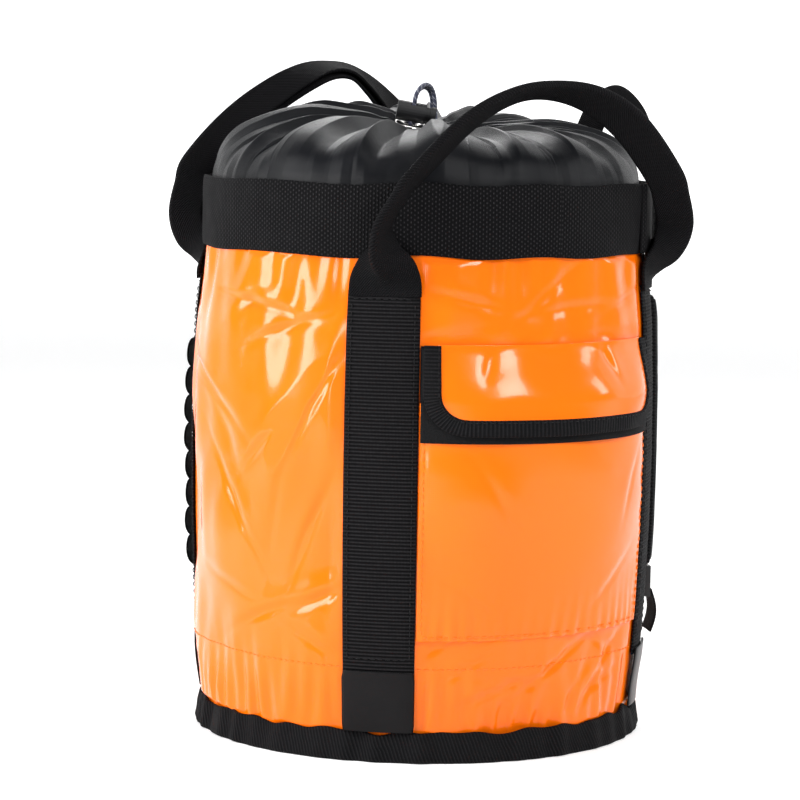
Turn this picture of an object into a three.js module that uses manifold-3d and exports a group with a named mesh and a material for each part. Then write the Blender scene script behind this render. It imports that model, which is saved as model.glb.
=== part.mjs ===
// Rope storage bag: a PVC bucket with a webbing rim, a drawstring collar, a flap pocket,
// two grab handles, a haul loop, shoulder straps and a strip of gear loops.
// Millimetres, +Z up. The origin is the centre of the base and the pocket faces -Y.
// Angles around the bag are measured from the pocket (-Y) towards +X.
import * as THREE from 'three';
import { mergeVertices } from 'three/addons/utils/BufferGeometryUtils.js';
import Module from 'manifold-3d';

const wasm = await Module();
wasm.setup();

// ---- driving dimensions ----
const bagHeight = 382;
const rimRadius = 155; // outside of the rim band
const baseRadius = 147.5; // outside of the wall at the floor
const wallBulge = 9;
const wallThick = 2;
const gap = 0.3; // between pieces sewn or laid face to face
const webbingWidth = 48;
const webbingThick = 2.3;
const roundSteps = 48;

const bindingHeight = 20;
const bindingThick = 4;
const bindingFlare = 3; // how much further the binding spreads at the floor
const basePanelThick = 3;

const hoopHeight = 26;
const hoopThick = 1.4;

const strapAngle = 45; // the four upright straps stand at 45, 135, 225 and 315 degrees
const strapStop = 22; // from the top of the straps up to the rim band
const footHeight = 40;
const footThick = 1.6;

const handleThick = 4.6;
const handleRim = 70; // the rim's height above the straps in the handles' stops
const haulThick = 2.8;

const pocketBottom = 82;
const pocketDrop = 94; // from the rim band down to the pocket's top edge
const pocketGap = 11; // how far the pocket stands off the wall
const pocketThick = 1.2;
const tapeHeight = 21;
const tapeThick = 0.9;
const tapeInset = 2;
const loopTapeShare = 0.84; // of the pocket's width
const hookTapeShare = 0.78;
const hookTapeRise = 3;

const flapDrop = 56; // from the rim band down to the flap's seam
const flapLength = 59;
const flapSeam = 8;
const flapThick = 1.5;
const flapBinding = 11;
const flapBindingThick = 2.8;
const flapCorner = 27;

const padWidth = 50;
const padThick = 6;
const padClear = 2.4; // between a pad and the upright strap beside it
const padBottom = 112;
const padStop = 10; // from the top of the upright straps down to the pad
const yokeThick = 1.2;
const yokeInset = 2;
const yokeHeight = 38;
const buckleWidth = 34;
const buckleHeight = 22;
const buckleThick = 3.6;
const buckleBar = 3.5;
const buckleClear = 0.8;
const anchorDrop = 18; // from the buckle down to its anchor patch
const anchorBottom = 50;
const anchorWidth = 40;
const tailDrop = 26; // how far the webbing's end hangs below the buckle
const tailTuck = 4; // how far it reaches up in front of the buckle
const tailBow = 3.5;
const tapeWebbingWidth = 25;
const tapeWebbingThick = 1.6;
const tailClear = 1.6; // the flat buckle meets the round wall on a tangent

const gearLoopCount = 8;
const gearLoopDrop = 69; // from the rim band down to the first loop
const gearLoopBottom = 105;
const gearLoopDepth = 5.5;
const gearWebbingWidth = 20;

const collarThick = 1.6;
const collarSkirt = 42; // length of the collar sewn down inside the rim
const hemRise = 33; // the hem's centre above the rim
const hemRing = 17; // centre line of the gathered hem
const hemTube = 5.5;
const hemTilt = 17;
const cordDiameter = 3;
const channelTube = 2.3;
const channelInset = 1.4; // the strands turn into the channel this far above its floor
const channelTurn = 19; // degrees each side of the eyelet

const eyeletAngle = -75;
const eyeletReach = 19;
const eyeletOuter = 11;
const eyeletClear = 1.1; // round the two strands
const eyeletWall = 0.8;
const eyeletFlange = 1.2;

const lockRadius = 7;
const lockLength = 20;
const lockTurn = -35;
const lockBore = 5.2;
const lockFloor = 1.8;
const lockOffset = 1; // the cord passes this far from the lock's middle
const lockSeat = 0.6; // between the eyelet and the lock
const plungerStroke = 3;
const plungerHead = 3.5;
const plungerLip = 0.5;
const cordSlot = 4;
const springWire = 0.7;
const springTurns = 3;
const knotRadius = 6.5;
const knotHeight = 71; // of its middle above the floor

// ---- sizes that follow from them ----
const bandBottom = bagHeight - webbingWidth;
const strapTop = bandBottom - strapStop;
const handleWidth = webbingWidth / 2;
const handleStretch = (bagHeight - strapTop) / handleRim;
const pocketTop = bandBottom - pocketDrop;
const flapTop = bandBottom - flapDrop;
const flapBottom = flapTop - flapLength;
const gearLoopTop = bandBottom - gearLoopDrop;
const gearLoopPitch = (gearLoopTop - gearLoopBottom) / gearLoopCount;
const hemHeight = bagHeight + hemRise;
const cordSpread = (cordDiameter * 2) / 3; // each of the two strands, from their middle
const eyeletBore = cordSpread + cordDiameter / 2 + eyeletClear;
const cordSlotWidth = 2 * cordSpread + cordDiameter + 2 * gap;
const wallRimRadius = rimRadius - webbingThick - gap;
const hoopOuter = wallRimRadius - wallThick - gap;
const collarOuter = hoopOuter - hoopThick - gap;
const backAngle = 90;
const degree = Math.PI / 180;
const strapArc = strapAngle * degree * rimRadius;
const padArc = strapArc - webbingWidth / 2 - padWidth / 2 - padClear;
const padAngle = padArc / rimRadius / degree; // each side of the back panel's centre
const pocketWidth = 2 * (strapArc - webbingWidth / 2 - 2 * gap);
const flapWidth = pocketWidth - 4;
const hemLean = (hemRing + hemTube) * Math.tan(hemTilt * degree);

// ---- colours ----
const orange = { color: 0xff6a0c, roughness: 0.25, metalness: 0 };
const blackWebbing = { color: 0x1b1a1c, roughness: 0.8, metalness: 0 };
const blackCloth = { color: 0x16171a, roughness: 0.55, metalness: 0 };
const blackVinyl = { color: 0x1d1c1e, roughness: 0.4, metalness: 0 };
const blackPlastic = { color: 0x141416, roughness: 0.45, metalness: 0 };
const clearPlastic = { color: 0xd8d8d2, roughness: 0.5, metalness: 0 };
const steel = { color: 0xc9c9cc, roughness: 0.25, metalness: 1 };
const cordBlue = { color: 0x1c2440, roughness: 0.7, metalness: 0 };

// ---- shape helpers ----

function polar(angle, radius, z) {
  const turn = angle * degree;
  return new THREE.Vector3(radius * Math.sin(turn), -radius * Math.cos(turn), z);
}

function mix(low, high, share) {
  return low + (high - low) * share;
}

function ease(value) {
  return THREE.MathUtils.smoothstep(value, 0, 1);
}

// Outside of the bucket's wall: it fills out between the base seam and the rim band.
function wallRadius(z) {
  const share = THREE.MathUtils.clamp(z / bandBottom, 0, 1);
  const belly = wallBulge * Math.pow(Math.sin(Math.PI * share), 0.6);
  return mix(baseRadius, wallRimRadius, share) + belly;
}

function weld(geometry) {
  const bare = geometry.clone();
  bare.deleteAttribute('normal');
  bare.deleteAttribute('uv');
  return mergeVertices(bare, 1e-3);
}

function signedVolume(geometry) {
  const { position } = geometry.attributes;
  const corner = [new THREE.Vector3(), new THREE.Vector3(), new THREE.Vector3()];
  let volume = 0;
  for (let i = 0; i < geometry.index.count; i += 3) {
    corner.forEach((point, k) => {
      point.fromBufferAttribute(position, geometry.index.getX(i + k));
    });
    volume += corner[0].dot(corner[1].cross(corner[2]));
  }
  return volume;
}

// Welds a geometry and turns its faces outwards.
function closed(geometry) {
  const solid = weld(geometry);
  if (signedVolume(solid) < 0) {
    solid.index.array.reverse();
  }
  solid.computeVertexNormals();
  return solid;
}

// Moves every corner of a geometry by the given rule.
function bend(geometry, rule) {
  const position = geometry.attributes.position;
  const point = new THREE.Vector3();
  for (let i = 0; i < position.count; i += 1) {
    const moved = rule(point.fromBufferAttribute(position, i));
    position.setXYZ(i, moved.x, moved.y, moved.z);
  }
  return closed(geometry);
}

// Turned ring from (radius, z) corners, closed on itself.
function ring(corners, steps = roundSteps) {
  const profile = [...corners, corners[0]].map(([radius, z]) => new THREE.Vector2(radius, z));
  return closed(new THREE.LatheGeometry(profile, steps).rotateX(Math.PI / 2));
}

// Sheet lying on the wall. side runs -1 to 1 across it; offset lifts it off the wall.
function wallSheet({ angle, width, low, high, thick, offset, across = 8, up = 8 }) {
  const block = new THREE.BoxGeometry(2, 1, 1, across, 1, up);
  return bend(block, ({ x: side, y: skin, z: share }) => {
    const bottom = typeof low === 'function' ? low(side) : low;
    const z = mix(bottom, high, share + 0.5);
    const lift = typeof offset === 'function' ? offset(side, z) : offset;
    const radius = wallRadius(z) + lift + (skin > 0 ? thick : 0);
    return polar(angle + (side * width) / 2 / rimRadius / degree, radius, z);
  });
}

// Flat band along a route. Each stop is [angle, radius, z, and the way the band's width points
// as shares along the rim, outwards and up].
function ribbon(stops, width, thick, steps) {
  const route = new THREE.CatmullRomCurve3(stops.map(([angle, radius, z]) => polar(angle, radius, z)));
  const facing = stops.map(([angle, , , along, out, up]) => {
    const turn = angle * degree;
    const rim = new THREE.Vector3(Math.cos(turn), Math.sin(turn), 0);
    const outward = new THREE.Vector3(Math.sin(turn), -Math.cos(turn), 0);
    return rim.multiplyScalar(along).addScaledVector(outward, out).setZ(rim.z + up);
  });
  const turning = new THREE.CatmullRomCurve3(facing);
  const block = new THREE.BoxGeometry(width, thick, 1, 2, 1, steps);
  return bend(block, ({ x, y, z }) => {
    const share = THREE.MathUtils.clamp(z + 0.5, 0, 1);
    const ahead = route.getTangent(share);
    const wide = turning.getPoint(share).projectOnPlane(ahead).normalize();
    const deep = new THREE.Vector3().crossVectors(ahead, wide);
    return route.getPoint(share).addScaledVector(wide, x).addScaledVector(deep, y);
  });
}

// Round cord or wire along a curve.
function tube(curve, diameter, steps, sides = 8) {
  const section = new THREE.Shape();
  section.absarc(0, 0, diameter / 2, 0, Math.PI * 2, false);
  const settings = { steps, extrudePath: curve, curveSegments: sides / 2, bevelEnabled: false };
  return closed(new THREE.ExtrudeGeometry(section, settings));
}

// Plate from an outline, standing up in the XZ plane, its thickness along +Y.
function plate(shape, thick, curveSegments = 4) {
  const settings = { depth: thick, bevelEnabled: false, curveSegments };
  return closed(new THREE.ExtrudeGeometry(shape, settings).rotateX(Math.PI / 2));
}

function toManifold(geometry) {
  const solid = weld(geometry);
  return new wasm.Manifold(new wasm.Mesh({
    numProp: 3,
    vertProperties: new Float32Array(solid.attributes.position.array),
    triVerts: new Uint32Array(solid.index.array),
  }));
}

function fromManifold(solid) {
  const mesh = solid.getMesh();
  const geometry = new THREE.BufferGeometry();
  geometry.setAttribute('position', new THREE.BufferAttribute(mesh.vertProperties, 3));
  geometry.setIndex(new THREE.BufferAttribute(mesh.triVerts, 1));
  geometry.computeVertexNormals();
  return geometry;
}

function cut(body, ...tools) {
  const solid = tools.reduce((rest, tool) => rest.subtract(toManifold(tool)), toManifold(body));
  return fromManifold(solid);
}

function node(name, geometry, finish) {
  const mesh = new THREE.Mesh(geometry, new THREE.MeshStandardMaterial(finish));
  mesh.name = name;
  return mesh;
}

// ---- bucket ----

function wallProfile() {
  const steps = 7;
  const bottom = basePanelThick + 3 * gap;
  const heights = Array.from({ length: steps + 1 }, (_, i) => mix(bottom, bandBottom, i / steps));
  const outside = heights.map((z) => [wallRadius(z), z]);
  outside.push([wallRimRadius, bagHeight - gap]);
  const inside = outside.map(([radius, z]) => [radius - wallThick, z]).reverse();
  return [...outside, ...inside];
}

function basePanel() {
  const radius = baseRadius - wallThick - gap;
  return closed(new THREE.CylinderGeometry(radius, radius, basePanelThick, roundSteps)
    .rotateX(Math.PI / 2).translate(0, 0, basePanelThick / 2));
}

function bindingProfile() {
  const inner = baseRadius - wallThick;
  const foot = basePanelThick + gap;
  const flare = baseRadius + bindingThick + bindingFlare;
  return [
    [inner, 0], [flare, 0], [flare + gap, basePanelThick],
    [wallRadius(bindingHeight) + gap + bindingThick / 2, bindingHeight],
    [wallRadius(bindingHeight) + gap, bindingHeight],
    [wallRadius(foot) + gap, foot], [inner, foot],
  ];
}

function bucket() {
  const group = new THREE.Group();
  const hoopMiddle = bagHeight - webbingWidth / 2;
  const hoopLow = hoopMiddle - hoopHeight / 2;
  const hoopHigh = hoopMiddle + hoopHeight / 2;
  group.add(
    node('wall', ring(wallProfile()), orange),
    node('base_panel', basePanel(), orange),
    node('base_binding', ring(bindingProfile()), blackWebbing),
    node('rim_band', ring([
      [wallRimRadius + gap, bandBottom], [rimRadius, bandBottom],
      [rimRadius, bagHeight], [wallRimRadius + gap, bagHeight],
    ]), blackWebbing),
    node('rim_hoop', ring([
      [hoopOuter - hoopThick, hoopLow], [hoopOuter, hoopLow],
      [hoopOuter, hoopHigh], [hoopOuter - hoopThick, hoopHigh],
    ]), clearPlastic),
  );
  return group;
}

// ---- upright straps and their feet ----

const corners = [
  { place: 'front_left', angle: -strapAngle },
  { place: 'front_right', angle: strapAngle },
  { place: 'rear_right', angle: 180 - strapAngle },
  { place: 'rear_left', angle: strapAngle - 180 },
];

function straps() {
  const group = new THREE.Group();
  const footBottom = bindingHeight + 2 * gap;
  const footTop = footBottom + footHeight;
  corners.forEach(({ place, angle }) => {
    const shared = { angle, width: webbingWidth, offset: gap, across: 4 };
    const strap = { ...shared, low: footTop + gap, high: strapTop, thick: webbingThick, up: 10 };
    const foot = { ...shared, low: footBottom, high: footTop, thick: webbingThick + footThick, up: 2 };
    group.add(
      node(`strap_${place}`, wallSheet(strap), blackWebbing),
      node(`strap_foot_${place}`, wallSheet(foot), blackVinyl),
    );
  });
  return group;
}

// ---- handles: folded webbing that leaves the upright straps, stands out and arches over ----
// Each stop is the angle, the distance out from the rim to the middle less half the webbing's
// width, the height above the straps, and the way the width points as shares along the rim,
// outwards and up. The front and rear handles are given as half a handle, from the neck on a
// strap to the top of the arch.

const frontHandle = [
  [45, 0, 8, 1, 0, 0], [45, 5, 15, 0.9, 0.4, 0], [45, 8, 28, 0.4, 0.9, 0],
  [44, 8, 46, 0.1, 1, 0], [38, 2, 76, 0.35, 0.9, 0.1], [27, -12, 108, 0.45, 0.8, 0.35],
  [14, -23, 127, 0.3, 0.85, 0.35], [0, -29, 133, 0, 0.9, 0.3],
];

const rearHandle = [
  [45, 0, 8, 1, 0, 0], [45, 2, 15, 0.9, 0.4, 0], [45, 2, 28, 0.4, 0.9, 0],
  [44, 4, 46, 0.3, 0.9, 0], [38, 1, 76, 0.6, 0.7, 0.1], [28, -20, 109, 0.5, 0.8, 0.35],
  [14, -43, 136, 0.3, 0.85, 0.35], [0, -52, 145, 0, 0.9, 0.3],
];

const haulLoop = [
  [67, -4, 6, 1, 0, 0], [67, -2, 23, 1, 0, 0], [68, 0, 63, 1, 0.1, 0],
  [73, 1, 91, 1, 0.1, -0.3], [81, 2, 113, 0.7, 0, -0.8], [90, 2, 125, 0, 0, -1],
  [97, 2, 116, -0.7, 0, -0.8], [101, 1, 93, -1, 0.1, -0.3], [106, -1, 63, -1, 0.1, 0],
  [111, -3, 23, -1, 0, 0], [113, -4, 6, -1, 0, 0],
];

// Mirrors half a handle over its top.
function wholeHandle(half) {
  const mirror = ([angle, beyond, rise, along, ...rest]) => [-angle, beyond, rise, -along, ...rest];
  return [...half, ...half.slice(0, -1).map(mirror).reverse()];
}

// Webbing through the given stops, turned to its side of the bag.
function handleBand(stops, side, thick, steps) {
  const placed = stops.map(([angle, beyond, rise, ...facing]) => (
    [
      angle + side, rimRadius + handleWidth / 2 + beyond, strapTop + rise * handleStretch,
      ...facing,
    ]
  ));
  return ribbon(placed, handleWidth, thick, steps);
}

function handles() {
  const group = new THREE.Group();
  const front = handleBand(wholeHandle(frontHandle), 0, handleThick, 40);
  const rear = handleBand(wholeHandle(rearHandle), 180, handleThick, 40);
  group.add(
    node('handle_front', front, blackWebbing),
    node('handle_rear', rear, blackWebbing),
    node('haul_loop', handleBand(haulLoop, 0, haulThick, 32), blackWebbing),
  );
  return group;
}

// ---- pocket ----

// The pocket stands off the wall in its middle and upper half.
function pocketLift(side, z) {
  const rise = ease((z - pocketBottom) / ((pocketTop - pocketBottom) * 0.65));
  return gap + pocketGap * rise * (1 - side * side);
}

const stripLift = pocketThick + gap;
const hookLift = stripLift + tapeThick + gap;
const flapLift = hookLift + tapeThick + gap;

// From the seam above the pocket the flap comes out to pass over the closed tapes.
function flapOffset(side, z) {
  const drop = ease((flapTop - z) / (flapTop - pocketTop));
  return mix(gap * 2, pocketLift(side, pocketTop) + flapLift, drop);
}

function onPocket(lift, share) {
  return (side, z) => pocketLift(side * share, z) + lift;
}

// Half of the flap's outline measured in from a rounded lower corner.
function cornerRise(across, halfWidth, radius) {
  const into = Math.max(0, Math.abs(across) - (halfWidth - radius));
  return radius - Math.sqrt(Math.max(0, radius * radius - into * into));
}

function flapPanel() {
  const width = flapWidth - 2 * flapBinding - 2 * gap;
  const radius = flapCorner - flapBinding;
  const bottom = flapBottom + flapBinding + gap;
  const low = (side) => bottom + cornerRise((side * width) / 2, width / 2, radius);
  const offset = (side, z) => flapOffset((side * width) / pocketWidth, z);
  return wallSheet({ angle: 0, width, low, high: flapTop, thick: flapThick, offset, across: 20, up: 5 });
}

// Binding tape round the two sides and the bottom of the flap.
function flapEdge() {
  const half = flapWidth / 2;
  const turn = half - flapCorner;
  const outline = new THREE.Path();
  outline.moveTo(-half, flapTop);
  outline.lineTo(-half, flapBottom + flapCorner);
  outline.absarc(-turn, flapBottom + flapCorner, flapCorner, Math.PI, Math.PI * 1.5, false);
  outline.lineTo(turn, flapBottom);
  outline.absarc(turn, flapBottom + flapCorner, flapCorner, -Math.PI / 2, 0, false);
  outline.lineTo(half, flapTop);
  const block = new THREE.BoxGeometry(1, 1, 1, 44, 1, 2);
  return bend(block, ({ x, y: skin, z }) => {
    const share = THREE.MathUtils.clamp(x + 0.5, 0, 1);
    const ahead = outline.getTangentAt(share);
    const inward = flapBinding * (z + 0.5);
    const edge = outline.getPointAt(share);
    const across = edge.x - ahead.y * inward;
    const height = edge.y + ahead.x * inward;
    const lift = flapOffset((across * 2) / pocketWidth, height) + (skin > 0 ? flapBindingThick : 0);
    return polar(across / rimRadius / degree, wallRadius(height) + lift, height);
  });
}

function pocket() {
  const group = new THREE.Group();
  const tapeLow = pocketTop - tapeHeight - tapeInset;
  const sheet = { angle: 0, across: 20 };
  const strip = { ...sheet, low: tapeLow, high: pocketTop - tapeInset, thick: tapeThick, up: 2 };
  const hook = { ...strip, low: tapeLow + hookTapeRise };
  group.add(
    node('pocket_front', wallSheet({
      ...sheet, width: pocketWidth, low: pocketBottom, high: pocketTop,
      thick: pocketThick, offset: pocketLift, up: 9,
    }), orange),
    node('pocket_back', wallSheet({
      ...sheet, width: pocketWidth, low: pocketTop + tapeInset, high: flapTop - flapSeam,
      thick: gap, offset: gap, across: 14, up: 1,
    }), blackCloth),
    node('pocket_loop_tape', wallSheet({
      ...strip, width: pocketWidth * loopTapeShare, offset: onPocket(stripLift, loopTapeShare),
    }), blackCloth),
    node('flap_hook_tape', wallSheet({
      ...hook, width: pocketWidth * hookTapeShare, offset: onPocket(hookLift, hookTapeShare),
    }), blackCloth),
    node('flap_panel', flapPanel(), orange),
    node('flap_binding', flapEdge(), blackWebbing),
  );
  return group;
}

// ---- gear loops: one webbing strip tacked down between loops ----

function gearWebbing() {
  const stand = (side, z) => {
    const share = (((gearLoopTop - z) / gearLoopPitch) % 1 + 1) % 1;
    return webbingThick + 2 * gap + gearLoopDepth * Math.sqrt(Math.sin(Math.PI * share));
  };
  return wallSheet({
    angle: strapAngle - 180, width: gearWebbingWidth, low: gearLoopBottom, high: gearLoopTop,
    thick: tapeWebbingThick, offset: stand, across: 1, up: gearLoopCount * 8,
  });
}

// ---- back panel with the shoulder straps ----

function buckleShape() {
  const bar = buckleBar;
  const slot = (buckleHeight - 3 * bar) / 2;
  const shape = new THREE.Shape();
  shape.moveTo(-buckleWidth / 2, 0);
  shape.lineTo(buckleWidth / 2, 0);
  shape.lineTo(buckleWidth / 2, buckleHeight);
  shape.lineTo(-buckleWidth / 2, buckleHeight);
  for (const low of [bar, 2 * bar + slot]) {
    const hole = new THREE.Path();
    const half = buckleWidth / 2 - bar;
    hole.moveTo(-half, low);
    hole.lineTo(-half, low + slot);
    hole.lineTo(half, low + slot);
    hole.lineTo(half, low);
    shape.holes.push(hole);
  }
  return shape;
}

const buckleLow = padBottom - 2 - buckleHeight;
const buckleLift = 2 * gap + tapeWebbingThick + buckleClear;

// The buckle is flat, so it stands on the tangent to the wall.
function buckle(angle) {
  const radius = wallRadius(buckleLow + buckleHeight) + buckleLift;
  const solid = plate(buckleShape(), buckleThick).translate(0, -radius, buckleLow);
  return solid.rotateZ(angle * degree);
}

// The free end of the webbing bows out in front of the upright buckle.
function tailLift(across, z) {
  const share = (z - buckleLow + tailDrop) / (tailDrop + tailTuck);
  const upright = wallRadius(buckleLow + buckleHeight) - wallRadius(z);
  const front = upright + buckleLift + buckleThick + tailClear;
  return front + tailBow * Math.sin(Math.PI * share);
}

function backPanel() {
  const group = new THREE.Group();
  const yokeHigh = bandBottom - yokeInset;
  const yokeWidth = 2 * padArc + padWidth;
  group.add(node('harness_yoke', wallSheet({
    angle: backAngle, width: yokeWidth, low: yokeHigh - yokeHeight, high: yokeHigh,
    thick: yokeThick, offset: gap, across: 14, up: 1,
  }), blackWebbing));
  for (const [place, side] of [['left', -1], ['right', 1]]) {
    const angle = backAngle + side * padAngle;
    const puff = yokeThick + 2 * gap;
    const narrow = { angle, width: tapeWebbingWidth, thick: tapeWebbingThick, across: 3 };
    const anchorTop = buckleLow - anchorDrop;
    group.add(
      node(`shoulder_pad_${place}`, wallSheet({
        angle, width: padWidth, low: padBottom, high: strapTop - padStop,
        thick: padThick, offset: puff, across: 5, up: 12,
      }), blackCloth),
      node(`adjuster_webbing_${place}`, wallSheet({
        ...narrow, low: anchorTop + gap, high: padBottom - gap, offset: gap, up: 3,
      }), blackWebbing),
      node(`strap_anchor_${place}`, wallSheet({
        angle, width: anchorWidth, low: anchorBottom, high: anchorTop,
        thick: webbingThick, offset: gap, across: 4, up: 2,
      }), blackVinyl),
      node(`adjuster_buckle_${place}`, buckle(angle), blackPlastic),
      node(`adjuster_tail_${place}`, wallSheet({
        ...narrow, low: buckleLow - tailDrop, high: buckleLow + tailTuck, offset: tailLift, up: 6,
      }), blackWebbing),
    );
  }
  return group;
}

// ---- collar ----

// Dome of gathered cloth: outside points from the rim to the edge of the hem.
function collarDome() {
  const inner = hemRing + hemTube + gap;
  return [
    [collarOuter, bagHeight - collarSkirt], [collarOuter, bagHeight - 4],
    [collarOuter - 2, bagHeight + 7], [collarOuter - 9, bagHeight + 19],
    [collarOuter - 25, bagHeight + 30], [collarOuter - 51, bagHeight + 38],
    [collarOuter - 80, bagHeight + 42], [inner + 22, bagHeight + 42],
    [inner + 8, hemHeight + 5], [inner, hemHeight],
  ];
}

// The dome leans towards the pocket side, as far as the tilted hem asks.
function collar() {
  const outside = collarDome();
  const inside = outside.map(([radius, z], i) => {
    const before = outside[Math.max(0, i - 1)];
    const after = outside[Math.min(outside.length - 1, i + 1)];
    const along = new THREE.Vector2(after[0] - before[0], after[1] - before[1]).normalize();
    return [radius - along.y * collarThick, z + along.x * collarThick];
  }).reverse();
  inside[0][0] = outside.at(-1)[0];
  inside[0][1] = outside.at(-1)[1] - collarThick;
  const dome = ring([...outside, ...inside]);
  const reach = (collarOuter - hemRing) * 0.6;
  return bend(dome, (point) => {
    const radius = Math.hypot(point.x, point.y);
    const share = point.z > bagHeight ? ease((collarOuter - radius) / reach) : 0;
    const lean = radius > 0 ? (hemLean * share * point.y) / radius : 0;
    return point.setZ(point.z + lean);
  });
}

function torus(mainRadius, tubeRadius, steps, sides) {
  return closed(new THREE.TorusGeometry(mainRadius, tubeRadius, sides, steps));
}

const eyeletSeat = polar(eyeletAngle, eyeletReach, hemTube + gap);

// Gathered hem with a channel for the drawcord and a hole under the eyelet.
function hem() {
  const radius = eyeletBore + eyeletWall + gap;
  const bore = new THREE.CylinderGeometry(radius, radius, 2 * hemTube, 16).rotateX(Math.PI / 2);
  bore.translate(eyeletSeat.x, eyeletSeat.y, hemTube - channelTube);
  return cut(torus(hemRing, hemTube, 24, 10), torus(hemRing, channelTube, 24, 8), bore);
}

function eyelet() {
  const barrel = eyeletBore + eyeletWall;
  const depth = hemTube - 1.5;
  return ring([
    [eyeletBore, -depth], [barrel, -depth], [barrel, 0], [eyeletOuter, 0],
    [eyeletOuter - 0.6, eyeletFlange * 0.7], [eyeletOuter - 2.5, eyeletFlange],
    [barrel, eyeletFlange], [eyeletBore, eyeletFlange * 0.5],
  ], 28);
}

const lockLow = eyeletFlange + lockSeat; // above the eyelet's seat
const lockMiddle = lockLow + lockRadius;
const strandTurn = new THREE.Vector3(-Math.sin(lockTurn * degree), Math.cos(lockTurn * degree), 0);

// The held stretch of the drawcord: down through the lock and the eyelet, round the channel
// and back up beside itself.
function drawcord() {
  const top = lockMiddle + lockRadius - gap;
  const seat = eyeletSeat;
  const strand = (side, z) => (
    seat.clone().addScaledVector(strandTurn, side * cordSpread).setZ(seat.z + z)
  );
  const arcs = 18;
  const around = Array.from({ length: arcs + 1 }, (_, i) => {
    const turn = mix(channelTurn, 360 - channelTurn, i / arcs);
    return polar(eyeletAngle - turn, hemRing, 0);
  });
  const low = channelInset - hemTube;
  const route = [
    strand(-1, top), strand(-1, top / 2), strand(-1, 1), strand(-1, low),
    ...around,
    strand(1, low), strand(1, 1), strand(1, top / 2), strand(1, top),
  ];
  return tube(new THREE.CatmullRomCurve3(route), cordDiameter, 64);
}

const lockBack = -lockLength / 2 - lockOffset;
const lockFront = lockBack + lockLength;
const plungerBack = -cordSlot / 2 - channelInset;

// Cylinder lying along X.
function along(radius, start, end) {
  const cylinder = new THREE.CylinderGeometry(radius, radius, end - start, 24);
  return cylinder.rotateZ(Math.PI / 2).translate((start + end) / 2, 0, 0);
}

// Lock pieces are made with the plunger along +X and the cord along Z through the origin.
function lockBody() {
  const barrel = along(lockRadius, lockBack, lockBack + lockLength);
  const cavity = along(lockBore + gap, lockBack + lockFloor, lockBack + lockLength + lockFloor);
  const slot = new THREE.BoxGeometry(cordSlot, cordSlotWidth, 4 * lockRadius);
  return cut(barrel, cavity, slot);
}

function lockPlunger() {
  const headStart = lockFront + plungerStroke + plungerLip;
  const stem = along(lockBore, plungerBack, headStart + plungerLip);
  const head = along(lockRadius - lockOffset, headStart, headStart + plungerHead);
  const slotLength = cordSlot + plungerStroke;
  const slot = new THREE.BoxGeometry(slotLength, cordSlotWidth, 4 * lockRadius);
  slot.translate(plungerStroke / 2, 0, 0);
  const whole = toManifold(stem).add(toManifold(head)).subtract(toManifold(slot));
  return fromManifold(whole);
}

class Helix extends THREE.Curve {
  constructor(radius, start, length, turns) {
    super();
    Object.assign(this, { radius, start, length, turns });
  }

  getPoint(share, target = new THREE.Vector3()) {
    const turn = share * this.turns * Math.PI * 2;
    const x = this.start + this.length * share;
    return target.set(x, this.radius * Math.cos(turn), this.radius * Math.sin(turn));
  }
}

function lockSpring() {
  const start = lockBack + lockFloor + gap + springWire / 2;
  const end = plungerBack - gap - springWire / 2;
  const helix = new Helix(lockBore - 1.2, start, end - start, springTurns);
  return tube(helix, springWire, springTurns * 12, 6);
}

// The two free strands leave the lock, turn over beside it and hang side by side in the bag.
// Each arch is given as (x, y) from the line between the strands' starts, and the height above
// the top of the lock.
const hangX = 6;
const hangSide = 0.6 * cordDiameter;
const archBase = hemHeight + hemTube + 2 * lockRadius;
const tailArches = {
  a: [
    [-18.35, -11, -0.7], [-18.35, -11.8, 2.1], [-17.75, -12.3, 5.3], [-15.25, -12, 8.9],
    [-10.85, -10.2, 11.5], [-5.25, -7.4, 12.1], [0.35, -4.4, 9.9], [4.35, -2, 5.1],
    [6.35, -0.8, -1.5],
  ],
  b: [
    [-18.35, -11.1, 0.2], [-18.35, -11.8, 2.9], [-17.55, -11.8, 5.3], [-15.15, -11, 7.9],
    [-10.75, -8.6, 9.7], [-5.35, -5.6, 10.1], [0.25, -2.6, 7.7], [3.65, -0.5, 3.1],
    [4.85, 0.4, -3.5],
  ],
};

function tailRoute(arch, side) {
  const over = arch.map(([x, y, rise]) => (
    new THREE.Vector3(x, y, archBase + rise).addScaledVector(strandTurn, side * cordSpread)
  ));
  const knotTop = knotHeight + knotRadius + gap;
  const heights = Array.from({ length: 10 }, (_, i) => mix(hemHeight + 8, knotTop, i / 9));
  const down = heights.map((z) => new THREE.Vector3(hangX, side * hangSide, z));
  return new THREE.CatmullRomCurve3([...over, ...down]);
}

function tails() {
  const group = new THREE.Group();
  for (const [name, side] of [['a', -1], ['b', 1]]) {
    const cord = tube(tailRoute(tailArches[name], side), cordDiameter, 60);
    group.add(node(`drawcord_tail_${name}`, cord, cordBlue));
  }
  const knot = new THREE.SphereGeometry(knotRadius, 12, 8).translate(hangX, 0, knotHeight);
  group.add(node('drawcord_knot', closed(knot), cordBlue));
  return group;
}

const bag = new THREE.Group();
bag.add(bucket(), straps(), handles(), pocket(), backPanel());
bag.add(node('gear_webbing', gearWebbing(), blackWebbing));
bag.add(node('collar', collar(), blackCloth));
bag.add(tails());

const gather = new THREE.Group();
gather.position.z = hemHeight;
gather.rotation.x = hemTilt * degree;
gather.add(
  node('collar_hem', hem(), blackCloth),
  node('drawcord', drawcord(), cordBlue),
);
const eyeletMesh = node('eyelet', eyelet(), steel);
eyeletMesh.position.copy(eyeletSeat);
gather.add(eyeletMesh);

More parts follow.
